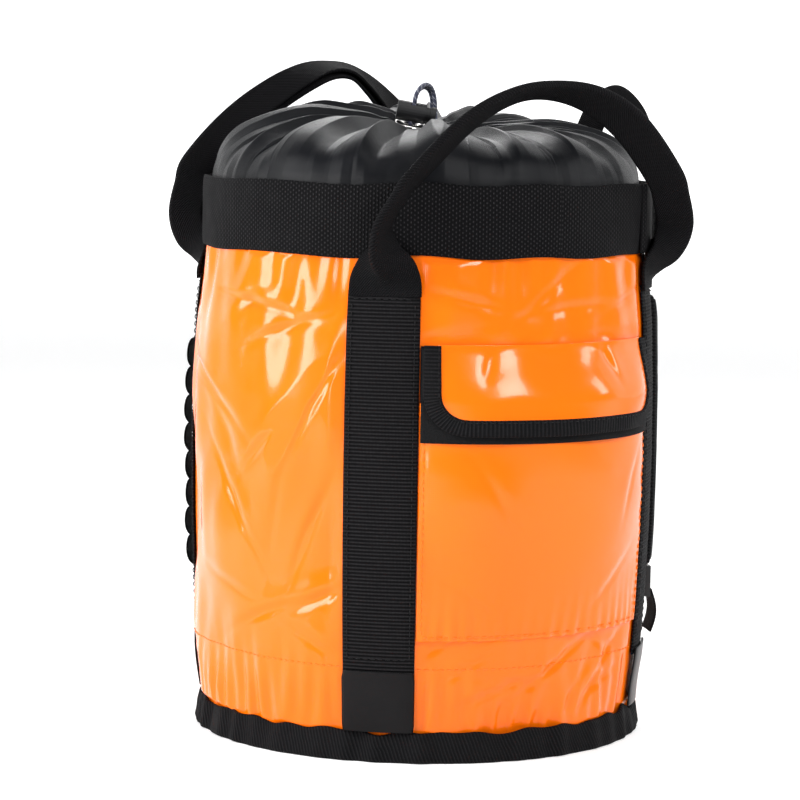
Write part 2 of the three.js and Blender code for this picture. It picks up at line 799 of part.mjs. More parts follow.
const lock = new THREE.Group();
lock.position.copy(eyeletSeat).setZ(eyeletSeat.z + lockMiddle);
lock.rotation.z = lockTurn * degree;
lock.add(
  node('cord_lock_body', lockBody(), blackPlastic),
  node('cord_lock_plunger', lockPlunger(), blackPlastic),
  node('cord_lock_spring', lockSpring(), steel),
);
gather.add(lock);
bag.add(gather);

export default bag;
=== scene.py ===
"""Rope storage bag: the fabric, webbing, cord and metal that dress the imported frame.

Lengths inside the functions are millimetres and angles are degrees round the bag, from the
pocket side (-Y) towards +X; mesh_piece turns them into metres.
"""
import math

import bmesh
import bpy
import numpy as np
from mathutils import Matrix, Vector


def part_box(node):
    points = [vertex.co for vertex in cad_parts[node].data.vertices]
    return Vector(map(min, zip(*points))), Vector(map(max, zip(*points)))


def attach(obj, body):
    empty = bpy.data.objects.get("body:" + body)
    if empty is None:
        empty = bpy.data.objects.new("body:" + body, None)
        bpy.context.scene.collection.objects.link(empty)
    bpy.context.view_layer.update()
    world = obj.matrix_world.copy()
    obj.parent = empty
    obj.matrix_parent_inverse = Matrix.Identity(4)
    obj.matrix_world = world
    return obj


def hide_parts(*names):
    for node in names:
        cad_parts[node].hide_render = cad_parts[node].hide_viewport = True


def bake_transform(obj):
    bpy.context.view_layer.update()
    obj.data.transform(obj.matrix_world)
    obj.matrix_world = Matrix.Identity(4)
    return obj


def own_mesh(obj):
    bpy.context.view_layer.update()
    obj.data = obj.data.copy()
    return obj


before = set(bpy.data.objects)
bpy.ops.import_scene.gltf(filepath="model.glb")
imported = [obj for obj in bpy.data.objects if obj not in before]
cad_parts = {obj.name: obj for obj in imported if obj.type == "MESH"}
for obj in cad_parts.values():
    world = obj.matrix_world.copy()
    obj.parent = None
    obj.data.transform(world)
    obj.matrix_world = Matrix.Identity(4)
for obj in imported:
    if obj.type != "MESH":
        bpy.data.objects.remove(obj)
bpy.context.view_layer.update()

MM = 0.001


# ---------------------------------------------------------------- frame

def box_mm(node):
    low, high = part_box(node)
    return np.array(low) * 1000, np.array(high) * 1000


def height(node):
    low, high = box_mm(node)
    return low[2], high[2]


def wall_profile():
    """Outside radius of the CAD wall by height."""
    corners = np.array([v.co for v in bpy.data.objects["wall"].data.vertices]) * 1000
    radius = np.hypot(corners[:, 0], corners[:, 1])
    levels = np.unique(corners[:, 2].round(1))
    outer = [radius[np.abs(corners[:, 2] - level) < 0.06].max() for level in levels]
    return levels, np.array(outer)


LEVELS, RADII = wall_profile()
RIM_LOW, RIM_HIGH = height("rim_band")
RIM_R = box_mm("rim_band")[1][0]
WEB = RIM_HIGH - RIM_LOW
STRAP_ANGLE = 45
HEM_TILT = 17
HEM_Z = (height("collar_hem")[0] + height("collar_hem")[1]) / 2


def wall_r(z):
    return np.interp(z, LEVELS, RADII)


def polar(angle, radius, z):
    turn = np.radians(angle)
    return np.stack(np.broadcast_arrays(radius * np.sin(turn), -radius * np.cos(turn), z + 0.0), -1)


def ease(value):
    value = np.clip(value, 0, 1)
    return value * value * (3 - 2 * value)


def catmull(points, count):
    """Points along the smooth curve through the given ones."""
    points = np.array(points, float)
    ends = np.vstack([2 * points[0] - points[1], points, 2 * points[-1] - points[-2]])
    place = np.linspace(0, len(points) - 1, count)
    first = np.minimum(place.astype(int), len(points) - 2)
    t = (place - first)[:, None]
    a, b, c, d = (ends[first + k] for k in range(4))
    return 0.5 * (2 * b + (c - a) * t + (2 * a - 5 * b + 4 * c - d) * t**2 + (3 * b - a - 3 * c + d) * t**3)


def ripple(angle, z, seed, count, around, up):
    """Smooth unevenness of about unit height: waves round the bag and up it."""
    rng = np.random.default_rng(seed)
    total = 0
    for _ in range(count):
        turns = rng.integers(*around)
        rise = 2 * math.pi / rng.uniform(*up) * rng.choice([-1, 1])
        total = total + np.cos(turns * np.radians(angle) + rise * z + rng.uniform(0, 2 * math.pi))
    return total / math.sqrt(count / 2)


# ---------------------------------------------------------------- meshes

def mesh_piece(name, points, faces, weave, material, body, replaces=()):
    """A smooth mesh from points in millimetres; weave gives each face corner's place in its cloth."""
    mesh = bpy.data.meshes.new(name)
    mesh.from_pydata((points * MM).tolist(), [], faces)
    layer = mesh.uv_layers.new(name="weave")
    flat = np.concatenate([np.asarray(corner, float).reshape(-1) for corner in weave])
    layer.data.foreach_set("uv", flat.astype(np.float32))
    mesh.materials.append(material)
    mesh.shade_smooth()
    piece = bpy.data.objects.new(name, mesh)
    bpy.context.scene.collection.objects.link(piece)
    face_outwards(mesh)
    if body:
        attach(piece, body)
    if replaces:
        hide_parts(*replaces)
    return piece


def face_outwards(mesh):
    work = bmesh.new()
    work.from_mesh(mesh)
    bmesh.ops.recalc_face_normals(work, faces=work.faces)
    work.to_mesh(mesh)
    work.free()


def grid_faces(rows, columns, wrap_rows, wrap_columns, start=0):
    """Quads of a grid of points, with each corner's (row, column) for its place in the cloth."""
    i, j = np.meshgrid(np.arange(rows if wrap_rows else rows - 1),
                       np.arange(columns if wrap_columns else columns - 1), indexing="ij")
    i, j = i.ravel(), j.ravel()
    steps = [(0, 0), (1, 0), (1, 1), (0, 1)]
    index = np.stack([((i + a) % rows) * columns + (j + b) % columns for a, b in steps], -1) + start
    place = np.stack([np.stack([i + a, j + b], -1) for a, b in steps], 1)
    return index, place


def loft(name, sections, weave, material, body, replaces=(), ring=False):
    """Closed sections, (stations, corners, 3), joined into a body. weave is (stations, corners, 2)."""
    stations, corners = sections.shape[:2]
    index, place = grid_faces(stations, corners, ring, True)
    faces = index.tolist()
    along = weave if not ring else np.concatenate([weave, weave[:1] + (weave[-1:] - weave[-2:-1]) * stations], 0)
    uv = [along[np.minimum(place[..., 0], len(along) - 1), place[..., 1] % corners].reshape(-1, 2)]
    if not ring:
        caps = [list(range(corners))[::-1], list(range((stations - 1) * corners, stations * corners))]
        faces += caps
        uv += [weave[0][::-1], weave[-1]]
    return mesh_piece(name, sections.reshape(-1, 3), faces, uv, material, body, replaces)


def shell(name, outer, thick, weave, material, body, replaces=(), wrap=False):
    """A sheet of cloth: outer is (across, up, 3), and its back lies thick behind it."""
    across, up = outer.shape[:2]
    if wrap:
        side = np.roll(outer, -1, 0) - np.roll(outer, 1, 0)
    else:
        side = np.gradient(outer, axis=0)
    normal = np.cross(side, np.gradient(outer, axis=1))
    normal /= np.linalg.norm(normal, axis=-1, keepdims=True) + 1e-12
    sign = np.sign((normal * (outer - outer.mean((0, 1)) * [1, 1, 0])).sum()) if wrap else 1
    if not wrap:
        radial = outer * [1, 1, 0]
        sign = np.sign((normal * radial).sum())
    inner = outer - sign * normal * thick
    points = np.concatenate([outer.reshape(-1, 3), inner.reshape(-1, 3)])
    front, place = grid_faces(across, up, wrap, False)
    back = front[:, ::-1] + across * up
    if wrap:
        weave = np.concatenate([weave, weave[:1] + (weave[-1:] - weave[-2:-1]) * across], 0)
    corner = weave[place[..., 0], place[..., 1]]
    rims, rim_weave = [], []
    loops = [[(i, 0) for i in range(across)], [(i, up - 1) for i in range(across)]]
    if wrap:
        loops = [loop + [(across, loop[0][1])] for loop in loops]
    else:
        loops += [[(0, j) for j in range(up)], [(across - 1, j) for j in range(up)]]
    for loop in loops:
        for (i0, j0), (i1, j1) in zip(loop, loop[1:]):
            a, b = (i0 % across) * up + j0, (i1 % across) * up + j1
            rims.append([a, b, b + across * up, a + across * up])
            rim_weave.append([weave[i0, j0], weave[i1, j1], weave[i1, j1], weave[i0, j0]])
    uv = [corner.reshape(-1, 2), corner[:, ::-1].reshape(-1, 2), np.array(rim_weave).reshape(-1, 2)]
    return mesh_piece(name, points, front.tolist() + back.tolist() + rims, uv, material, body, replaces)


def band_section(width, thick, count=8):
    """Section of a woven band: flat, with rounded edges. Returns its corners across and through."""
    lean = np.sin(np.linspace(-math.pi / 2, math.pi / 2, count + 1))
    half = thick / 2 * np.sqrt(1 - np.abs(lean) ** 8)
    across = np.concatenate([lean, lean[-2:0:-1]]) * width / 2
    through = np.concatenate([half, -half[-2:0:-1]])
    return across, through


def on_wall(angle, across, lift, z):
    return polar(angle + np.degrees(across / RIM_R), wall_r(z) + lift, z)


def wall_band(name, angle, low, high, width, thick, lift, material, replaces=(), body="root",
              step=1.2, rib=0.0, rib_pitch=2.4, edge=None):
    """A woven band lying up the wall. lift(z) is how far its middle stands off the wall."""
    z = np.arange(low, high + step / 2, step)
    across, through = band_section(width, thick)
    bulk = 1 + rib * np.cos(2 * math.pi * z / rib_pitch)[:, None] / (thick / 2)
    lifts = np.array([lift(v) for v in z])[:, None]
    widths = 1 if edge is None else edge(z)[:, None]
    sections = on_wall(angle, across[None] * widths, lifts + through[None] * bulk, z[:, None] + 0 * across[None])
    weave = np.stack(np.broadcast_arrays(across[None], z[:, None]), -1)
    return loft(name, sections, weave, material, body, replaces)


def frames(centre, wide):
    """Unit ahead, wide and deep directions along a route."""
    ahead = np.gradient(centre, axis=0)
    ahead /= np.linalg.norm(ahead, axis=1, keepdims=True)
    wide = wide - (wide * ahead).sum(1, keepdims=True) * ahead
    wide /= np.linalg.norm(wide, axis=1, keepdims=True)
    return ahead, wide, np.cross(ahead, wide)


def run(centre):
    """Distance along a route at each of its points."""
    return np.concatenate([[0], np.cumsum(np.linalg.norm(np.diff(centre, axis=0), axis=1))])


def tube(name, centre, radius, material, body, replaces=(), sides=12, ring=False):
    """Round cord along a route, carried without twisting."""
    ahead = np.roll(centre, -1, 0) - np.roll(centre, 1, 0) if ring else np.gradient(centre, axis=0)
    ahead /= np.linalg.norm(ahead, axis=1, keepdims=True)
    side = np.cross(ahead[0], [0.3, 0.2, 0.9])
    sides_at = []
    for direction in ahead:
        side = side - side.dot(direction) * direction
        side /= np.linalg.norm(side)
        sides_at.append(side)
    side = np.array(sides_at)
    up = np.cross(ahead, side)
    turn = np.arange(sides) * 2 * math.pi / sides
    sections = (centre[:, None] + radius * (side[:, None] * np.cos(turn)[None, :, None]
                + up[:, None] * np.sin(turn)[None, :, None]))
    length = run(centre)
    weave = np.stack(np.broadcast_arrays((turn * radius)[None], length[:, None]), -1)
    return loft(name, sections, weave, material, body, replaces, ring)


def turned(name, profile, place, tilt, material, body, replaces=(), steps=64):
    """Turned ring or cap from (radius, height) corners, stood at place in the frame."""
    profile = np.array(profile, float)
    turn = np.arange(steps) * 2 * math.pi / steps
    sections = np.stack(np.broadcast_arrays(profile[None, :, 0] * np.cos(turn)[:, None],
                        profile[None, :, 0] * np.sin(turn)[:, None], profile[None, :, 1]), -1)
    sections = sections @ np.array(tilt).T + place
    weave = np.stack(np.broadcast_arrays(profile[None, :, 1], (turn * profile[:, 0].max())[:, None]), -1)
    return loft(name, sections, weave, material, body, replaces, ring=True)


# ---------------------------------------------------------------- materials

class Look:
    """A Principled material built by short steps. Sockets and plain numbers mix freely."""

    def __init__(self, name, color, roughness, metallic=0.0, **settings):
        self.material = bpy.data.materials.new(name)
        self.material.use_nodes = True
        self.tree = self.material.node_tree
        self.shader = self.tree.nodes["Principled BSDF"]
        self.shader.inputs["Base Color"].default_value = (*color, 1)
        self.shader.inputs["Roughness"].default_value = roughness
        self.shader.inputs["Metallic"].default_value = metallic
        for key, value in settings.items():
            self.shader.inputs[key.replace("_", " ")].default_value = value

    def node(self, kind, **inputs):
        node = self.tree.nodes.new(kind)
        for key, value in inputs.items():
            self.put(node.inputs[key.replace("_", " ")], value)
        return node

    def put(self, socket, value):
        if isinstance(value, bpy.types.NodeSocket):
            self.tree.links.new(value, socket)
        else:
            socket.default_value = value

    def math(self, operation, first, second=0.0, third=0.0):
        node = self.tree.nodes.new("ShaderNodeMath")
        node.operation = operation
        for socket, value in zip(node.inputs, (first, second, third)):
            self.put(socket, value)
        return node.outputs[0]

    def weave(self):
        """Place in the cloth, across and along, in millimetres."""
        source = self.tree.nodes.new("ShaderNodeUVMap")
        source.uv_map = "weave"
        parts = self.tree.nodes.new("ShaderNodeSeparateXYZ")
        self.tree.links.new(source.outputs[0], parts.inputs[0])
        return parts.outputs[0], parts.outputs[1], source.outputs[0]

    def here(self):
        return self.tree.nodes.new("ShaderNodeTexCoord").outputs["Object"]

    def wave(self, place, pitch, phase=0.0):
        turn = self.math("MULTIPLY_ADD", place, 2 * math.pi / pitch, phase)
        return self.math("MULTIPLY_ADD", self.math("SINE", turn), 0.5, 0.5)

    def noise(self, scale, detail=3.0, vector=None, roughness=0.5):
        node = self.node("ShaderNodeTexNoise", Scale=scale, Detail=detail, Roughness=roughness)
        self.put(node.inputs["Vector"], vector if vector is not None else self.here())
        return node.outputs[0]

    def blend(self, share, low, high):
        node = self.tree.nodes.new("ShaderNodeMix")
        node.data_type = "RGBA"
        self.put(node.inputs[0], share)
        self.put(node.inputs[6], (*low, 1) if isinstance(low, tuple) else low)
        self.put(node.inputs[7], (*high, 1) if isinstance(high, tuple) else high)
        return node.outputs[2]

    def spread(self, share, low, high):
        node = self.node("ShaderNodeMapRange", Value=share)
        node.inputs["To Min"].default_value = low
        node.inputs["To Max"].default_value = high
        return node.outputs[0]

    def paint(self, color=None, roughness=None, relief=None, depth=0.0002, strength=1.0):
        if color is not None:
            self.put(self.shader.inputs["Base Color"], color)
        if roughness is not None:
            self.put(self.shader.inputs["Roughness"], roughness)
        if relief is not None:
            bump = self.node("ShaderNodeBump", Strength=strength, Distance=depth, Height=relief)
            self.put(self.shader.inputs["Normal"], bump.outputs[0])
        return self.material


def vinyl_orange():
    """Glossy coated fabric: a smooth skin over a faint woven scrim."""
    look = Look("orange_pvc", (0.93, 0.15, 0.003), 0.22, Coat_Weight=0.2, Coat_Roughness=0.03,
                Specular_IOR_Level=0.2)
    across, along, _ = look.weave()
    scrim = look.math("ADD", look.wave(across, 1.3), look.wave(along, 1.3))
    skin = look.noise(42.0, 4.0)
    relief = look.math("ADD", look.math("MULTIPLY", scrim, 0.05), look.math("MULTIPLY", skin, 0.9))
    cloud = look.noise(9.0, 3.0)
    color = look.blend(cloud, (0.89, 0.142, 0.001), (0.97, 0.168, 0.0015))
    scuff = look.spread(look.noise(160.0, 6.0), 0.12, 0.22)
    return look.paint(color, scuff, relief, 0.0006, 0.35)


def webbing(name, kind, dark=(0.002, 0.002, 0.0024), light=(0.036, 0.034, 0.036)):
    """Black woven webbing. kind is basket for the dotted rim band, rib for cross ribs and
    twill for the finer handles."""
    look = Look(name, dark, 0.72, Specular_IOR_Level=0.07)
    across, along, place = look.weave()
    if kind == "basket":
        column = look.wave(across, 2.25)
        step = look.math("FLOOR", look.math("MULTIPLY_ADD", across, 1 / 2.25, 0.25))
        odd = look.math("MULTIPLY", step, math.pi)
        dots = look.wave(along, 3.1, odd)
        relief = look.math("MULTIPLY", look.math("POWER", column, 0.6), look.spread(dots, 0.35, 1.0))
        shine = look.math("MULTIPLY", look.math("POWER", column, 3.0), look.math("POWER", dots, 3.0))
    elif kind == "rib":
        rib = look.wave(along, 2.4)
        thread = look.wave(across, 0.9)
        relief = look.math("ADD", rib, look.math("MULTIPLY", thread, 0.35))
        shine = look.math("MULTIPLY", look.math("POWER", rib, 2.0), look.spread(thread, 0.3, 0.8))
    else:
        slant = look.math("ADD", across, look.math("MULTIPLY", along, 0.8))
        rib = look.wave(slant, 1.7)
        thread = look.wave(along, 1.1)
        relief = look.math("ADD", rib, look.math("MULTIPLY", thread, 0.5))
        shine = look.math("MULTIPLY", rib, look.spread(thread, 0.2, 0.6))
    fuzz = look.noise(420.0, 2.0)
    shade = look.math("MULTIPLY", shine, look.spread(fuzz, 0.4, 1.1))
    color = look.blend(shade, dark, light)
    rough = look.spread(look.noise(60.0, 2.0), 0.62, 0.85)
    return look.paint(color, rough, relief, 0.0005, 0.9)


def nylon():
    """Coated black cloth of the collar, with a soft shine and a fine plain weave."""
    look = Look("collar_cloth", (0.003, 0.003, 0.004), 0.42, Specular_IOR_Level=0.12)
    across, along, _ = look.weave()
    fine = look.math("ADD", look.wave(across, 0.55), look.wave(along, 0.55))
    crumple = look.noise(55.0, 4.0)
    relief = look.math("ADD", look.math("MULTIPLY", fine, 0.08), crumple)
    rough = look.spread(look.noise(24.0, 3.0), 0.30, 0.46)
    color = look.blend(look.noise(14.0, 2.0), (0.002, 0.0022, 0.003), (0.005, 0.0055, 0.007))
    return look.paint(color, rough, relief, 0.0008, 0.45)


def black_vinyl():
    look = Look("black_vinyl", (0.005, 0.005, 0.005), 0.38, Specular_IOR_Level=0.1)
    grain = look.noise(700.0, 3.0)
    worn = look.noise(30.0, 4.0)
    color = look.blend(worn, (0.003, 0.003, 0.0035), (0.009, 0.0085, 0.009))
    return look.paint(color, look.spread(worn, 0.24, 0.4), grain, 0.0002, 0.6)


def moulded(name, color=(0.005, 0.005, 0.0055)):
    look = Look(name, color, 0.4, Specular_IOR_Level=0.35)
    grain = look.noise(900.0, 2.0)
    tone = look.blend(look.noise(80.0, 3.0), color, tuple(2.0 * v for v in color))
    return look.paint(tone, look.spread(grain, 0.34, 0.5), grain, 0.0001, 0.5)


def plated():
    look = Look("nickel_plate", (0.78, 0.77, 0.75), 0.18, 1.0)
    smear = look.noise(120.0, 4.0)
    tone = look.blend(smear, (0.70, 0.69, 0.67), (0.86, 0.85, 0.83))
    return look.paint(tone, look.spread(smear, 0.1, 0.28), look.noise(300.0, 2.0), 0.00005, 0.3)


def braid():
    """Dark blue braided cord with pale flecks."""
    look = Look("braided_cord", (0.012, 0.016, 0.05), 0.6, Sheen_Weight=0.2)
    across, along, _ = look.weave()
    left = look.wave(look.math("ADD", across, along), 1.2)
    right = look.wave(look.math("SUBTRACT", across, along), 1.2)
    relief = look.math("MAXIMUM", left, right)
    fleck = look.wave(look.math("ADD", across, along), 4.7)
    pale = look.math("GREATER_THAN", look.math("MULTIPLY", fleck, right), 0.8)
    color = look.blend(pale, (0.012, 0.016, 0.05), (0.62, 0.64, 0.70))
    return look.paint(color, look.spread(relief, 0.75, 0.5), relief, 0.0003, 0.8)


def fuzzy_tape(name, scale):
    look = Look(name, (0.004, 0.004, 0.004), 0.9, Specular_IOR_Level=0.08)
    nap = look.noise(scale, 4.0)
    color = look.blend(nap, (0.002, 0.002, 0.002), (0.014, 0.014, 0.015))
    return look.paint(color, look.spread(nap, 0.8, 1.0), nap, 0.0008, 1.0)


def sewing_thread(name, color):
    look = Look(name, color, 0.5, Specular_IOR_Level=0.15)
    across, along, _ = look.weave()
    twist = look.wave(look.math("ADD", across, along), 0.5)
    tone = look.blend(twist, tuple(0.8 * v for v in color), color)
    return look.paint(tone, look.spread(twist, 0.45, 0.65), twist, 0.0001, 0.7)


def hoop_plastic():
    look = Look("hoop_plastic", (0.65, 0.65, 0.62), 0.45)
    cloud = look.noise(30.0, 3.0)
    color = look.blend(cloud, (0.58, 0.58, 0.55), (0.72, 0.72, 0.69))
    return look.paint(color, look.spread(cloud, 0.4, 0.55), look.noise(400.0), 0.0001, 0.3)


def studio_floor():
    look = Look("studio_floor", (0.8, 0.8, 0.8), 0.8, Specular_IOR_Level=0.1,
                Emission_Color=(1, 1, 1, 1), Emission_Strength=0.34)
    cloud = look.noise(1.5, 2.0)
    return look.paint(look.blend(cloud, (0.79, 0.79, 0.79), (0.82, 0.82, 0.82)))


def backdrop_paper():
    look = Look("backdrop_paper", (0.8, 0.8, 0.8), 0.9, Emission_Color=(1, 1, 1, 1), Emission_Strength=0.95)
    return look.paint(look.blend(look.noise(0.8, 2.0), (0.78, 0.78, 0.78), (0.81, 0.81, 0.81)))


PVC = vinyl_orange()
BASKET = webbing("rim_webbing", "basket")
RIB = webbing("strap_webbing", "rib")
TWILL = webbing("handle_webbing", "twill", light=(0.018, 0.017, 0.019))
TRIM = webbing("binding_tape", "rib", dark=(0.003, 0.003, 0.0035), light=(0.024, 0.023, 0.025))
NYLON = nylon()
VINYL = black_vinyl()
PLASTIC = moulded("buckle_plastic")
NICKEL = plated()
CORD = braid()
LOOP_TAPE = fuzzy_tape("loop_tape", 900.0)
HOOK_TAPE = fuzzy_tape("hook_tape", 500.0)
ORANGE_THREAD = sewing_thread("orange_thread", (0.95, 0.2, 0.012))
BLACK_THREAD = sewing_thread("black_thread", (0.008, 0.008, 0.009))
HOOP = hoop_plastic()


# ---------------------------------------------------------------- camera, lights and floor

def camera():
    """Lens and place that match the photographed view: low, from the front left."""
    azimuth, distance, eye = math.radians(-35.5), 2.1804, 0.4406
    yaw, pitch, roll = -0.0070, 0.0981, 0.01696
    right = Vector((math.cos(yaw), -math.sin(yaw), 0))
    ahead = Vector((math.sin(yaw), math.cos(yaw), 0))
    level = Vector((0, 0, 1))
    view = ahead * math.cos(pitch) - level * math.sin(pitch)
    up = ahead * math.sin(pitch) + level * math.cos(pitch)
    side = right * math.cos(roll) + up * math.sin(roll)
    top = up * math.cos(roll) - right * math.sin(roll)
    turn = Matrix.Rotation(azimuth, 3, "Z")
    basis = Matrix((turn @ side, turn @ top, turn @ -view)).transposed()
    lens = bpy.data.cameras.new("camera")
    lens.sensor_width = 36
    lens.lens = 140.4
    lens.clip_end = 50
    seat = bpy.data.objects.new("camera", lens)
    seat.matrix_world = Matrix.Translation(turn @ Vector((0, -distance, eye))) @ basis.to_4x4()
    bpy.context.scene.collection.objects.link(seat)
    bpy.context.scene.camera = seat


def soft_box(name, azimuth, elevation, distance, width, tall, power, aim=0.22):
    """Area light that looks at the bag from azimuth and elevation."""
    light = bpy.data.lights.new(name, "AREA")
    light.shape = "RECTANGLE"
    light.size, light.size_y, light.energy = width, tall, power
    lamp = bpy.data.objects.new(name, light)
    a, e = math.radians(azimuth), math.radians(elevation)
    place = Vector((math.sin(a) * math.cos(e), -math.cos(a) * math.cos(e), math.sin(e))) * distance
    lamp.location = place + Vector((0, 0, aim))
    lamp.rotation_euler = (-place).to_track_quat("-Z", "Y").to_euler()
    bpy.context.scene.collection.objects.link(lamp)


def studio():
    world = bpy.data.worlds.new("studio")
    world.use_nodes = True
    back = world.node_tree.nodes["Background"]
    back.inputs[0].default_value = (0.95, 0.96, 0.98, 1)
    back.inputs[1].default_value = 0.3
    bpy.context.scene.world = world
    bpy.context.scene.view_settings.view_transform = "Standard"
    soft_box("key_left", -104, 18, 1.5, 0.5, 1.0, 24)
    soft_box("front_strip", 0, 34, 1.7, 0.42, 0.6, 15)
    soft_box("front_low", -62, 8, 1.7, 0.12, 0.7, 5)
    soft_box("right_fill", 58, 24, 1.9, 0.35, 0.7, 8)
    soft_box("top", -30, 78, 1.8, 0.8, 0.8, 6)
    soft_box("rear_rim", 150, 40, 2.0, 0.5, 0.5, 14, 0.4)
    half, away, tall = 12.0, 5.0, 8.0
    turn = Matrix.Rotation(math.radians(-35.5), 3, "Z")
    stage_sheet("studio_floor", [(-half, -half, 0), (half, -half, 0), (half, half, 0), (-half, half, 0)],
                studio_floor())
    stage_sheet("studio_backdrop", [turn @ Vector(p) for p in ((-half, away, -0.01), (half, away, -0.01),
                (half, away, tall), (-half, away, tall))], backdrop_paper())


def stage_sheet(name, corners, material):
    mesh = bpy.data.meshes.new(name)
    mesh.from_pydata([tuple(p) for p in corners], [], [(0, 1, 2, 3)])
    mesh.materials.append(material)
    piece = bpy.data.objects.new(name, mesh)
    bpy.context.scene.collection.objects.link(piece)


camera()


# ---------------------------------------------------------------- free cord ends

CORD_R = 1.5
GAP = 0.3
ARCHES = {
    "a": [(-18.35, -11, -0.7), (-18.35, -11.8, 2.1), (-17.75, -12.3, 5.3), (-15.25, -12, 8.9), (-10.85, -10.2, 11.5),
          (-5.25, -7.4, 12.1), (0.35, -4.4, 9.9), (4.35, -2, 5.1), (6.35, -0.8, -1.5)],
    "b": [(-18.35, -11.1, 0.2), (-18.35, -11.8, 2.9), (-17.55, -11.8, 5.3), (-15.15, -11, 7.9), (-10.75, -8.6, 9.7),
          (-5.35, -5.6, 10.1), (0.25, -2.6, 7.7), (3.65, -0.5, 3.1), (4.85, 0.4, -3.5)],
}
LOCK_TOP = HEM_Z + 5.5 + 14
STRAND_TURN = math.radians(-35)


def tail_route(side, sign):
    """A free strand: out of the lock, over in an arch and straight down into the bag."""
    aside = np.array([-math.sin(STRAND_TURN), math.cos(STRAND_TURN), 0]) * sign * 2.0
    over = [np.array([x, y, LOCK_TOP + rise]) + aside for x, y, rise in ARCHES[side]]
    down = [np.array([6.0, sign * 1.8, z]) for z in np.linspace(HEM_Z + 8, height("drawcord_knot")[1] + GAP, 10)]
    return over + down


def even(points, step):
    """The same route with points an even step apart."""
    fine = catmull(points, 40 * len(points))
    length = run(fine)
    marks = np.linspace(0, length[-1], max(2, int(length[-1] / step)) + 1)
    return np.stack([np.interp(marks, length, fine[:, k]) for k in range(3)], -1)


def cord_knot():
    """Overhand knot that joins the two ends."""
    low, high = box_mm("drawcord_knot")
    middle, size = (low + high) / 2, (high - low) / 2
    turn = np.linspace(0, 2 * math.pi, 97)[:-1]
    wide = 0.42 * size[0]
    route = np.stack([
        wide * (np.sin(turn) + 1.2 * np.sin(2 * turn)) / 1.6,
        wide * (np.cos(turn) - 1.2 * np.cos(2 * turn)) / 1.6,
        -0.55 * size[2] * np.sin(3 * turn),
    ], -1) + middle
    return tube("drawcord_end_knot", route, CORD_R, CORD, "hem", ("drawcord_knot",), 10, True)


def cord_ends():
    knot = cord_knot()
    for side, sign in (("a", -1), ("b", 1)):
        route = even(tail_route(side, sign), 2.0)
        piece = tube(f"drawcord_end_{side}", route, CORD_R, CORD, "hem", (f"drawcord_tail_{side}",))


cord_ends()


# ---------------------------------------------------------------- places on the bag

BASE_TOP = height("base_binding")[1]
FOOT_TOP = height("strap_foot_front_left")[1]
STRAP_TOP = height("strap_front_left")[1]
POCKET_LOW, POCKET_TOP = height("pocket_front")
FLAP_LOW, FLAP_TOP = height("flap_binding")
PAD_LOW, PAD_TOP = height("shoulder_pad_left")
GEAR_LOW, GEAR_TOP = height("gear_webbing")
STRAP_ARC = math.radians(STRAP_ANGLE) * RIM_R
POCKET_W = 2 * (STRAP_ARC - WEB / 2 - 0.6)
FLAP_W = POCKET_W - 4
WEB_T = 2.3
POCKET_OUT = 11.0


def arc(angle, centre):
    """Distance round the rim from a line up the wall, in millimetres."""
    turn = (np.asarray(angle) - centre + 180) % 360 - 180
    return np.radians(turn) * RIM_R


def free_of_straps(angle):
    nearest = np.min([np.abs(arc(angle, centre)) for centre in (45, 135, 225, 315)], axis=0)
    return ease((nearest - WEB / 2 + 2) / 14)


def crease(angle, z, centre, level, lean, long, deep, wide=3.6):
    """A sharp crease in the cloth: a dent deep in the middle that dies out at both ends."""
    across, up = arc(angle, centre), z - level
    turn = math.radians(lean)
    along = across * math.cos(turn) + up * math.sin(turn)
    off = up * math.cos(turn) - across * math.sin(turn) + 0.0012 * along**2
    fade = np.exp(-(along / long) ** 2)
    return fade * (0.55 * deep * np.exp(-((off - 1.8 * wide) / (2 * wide)) ** 2) - deep * np.exp(-(off / wide) ** 2))


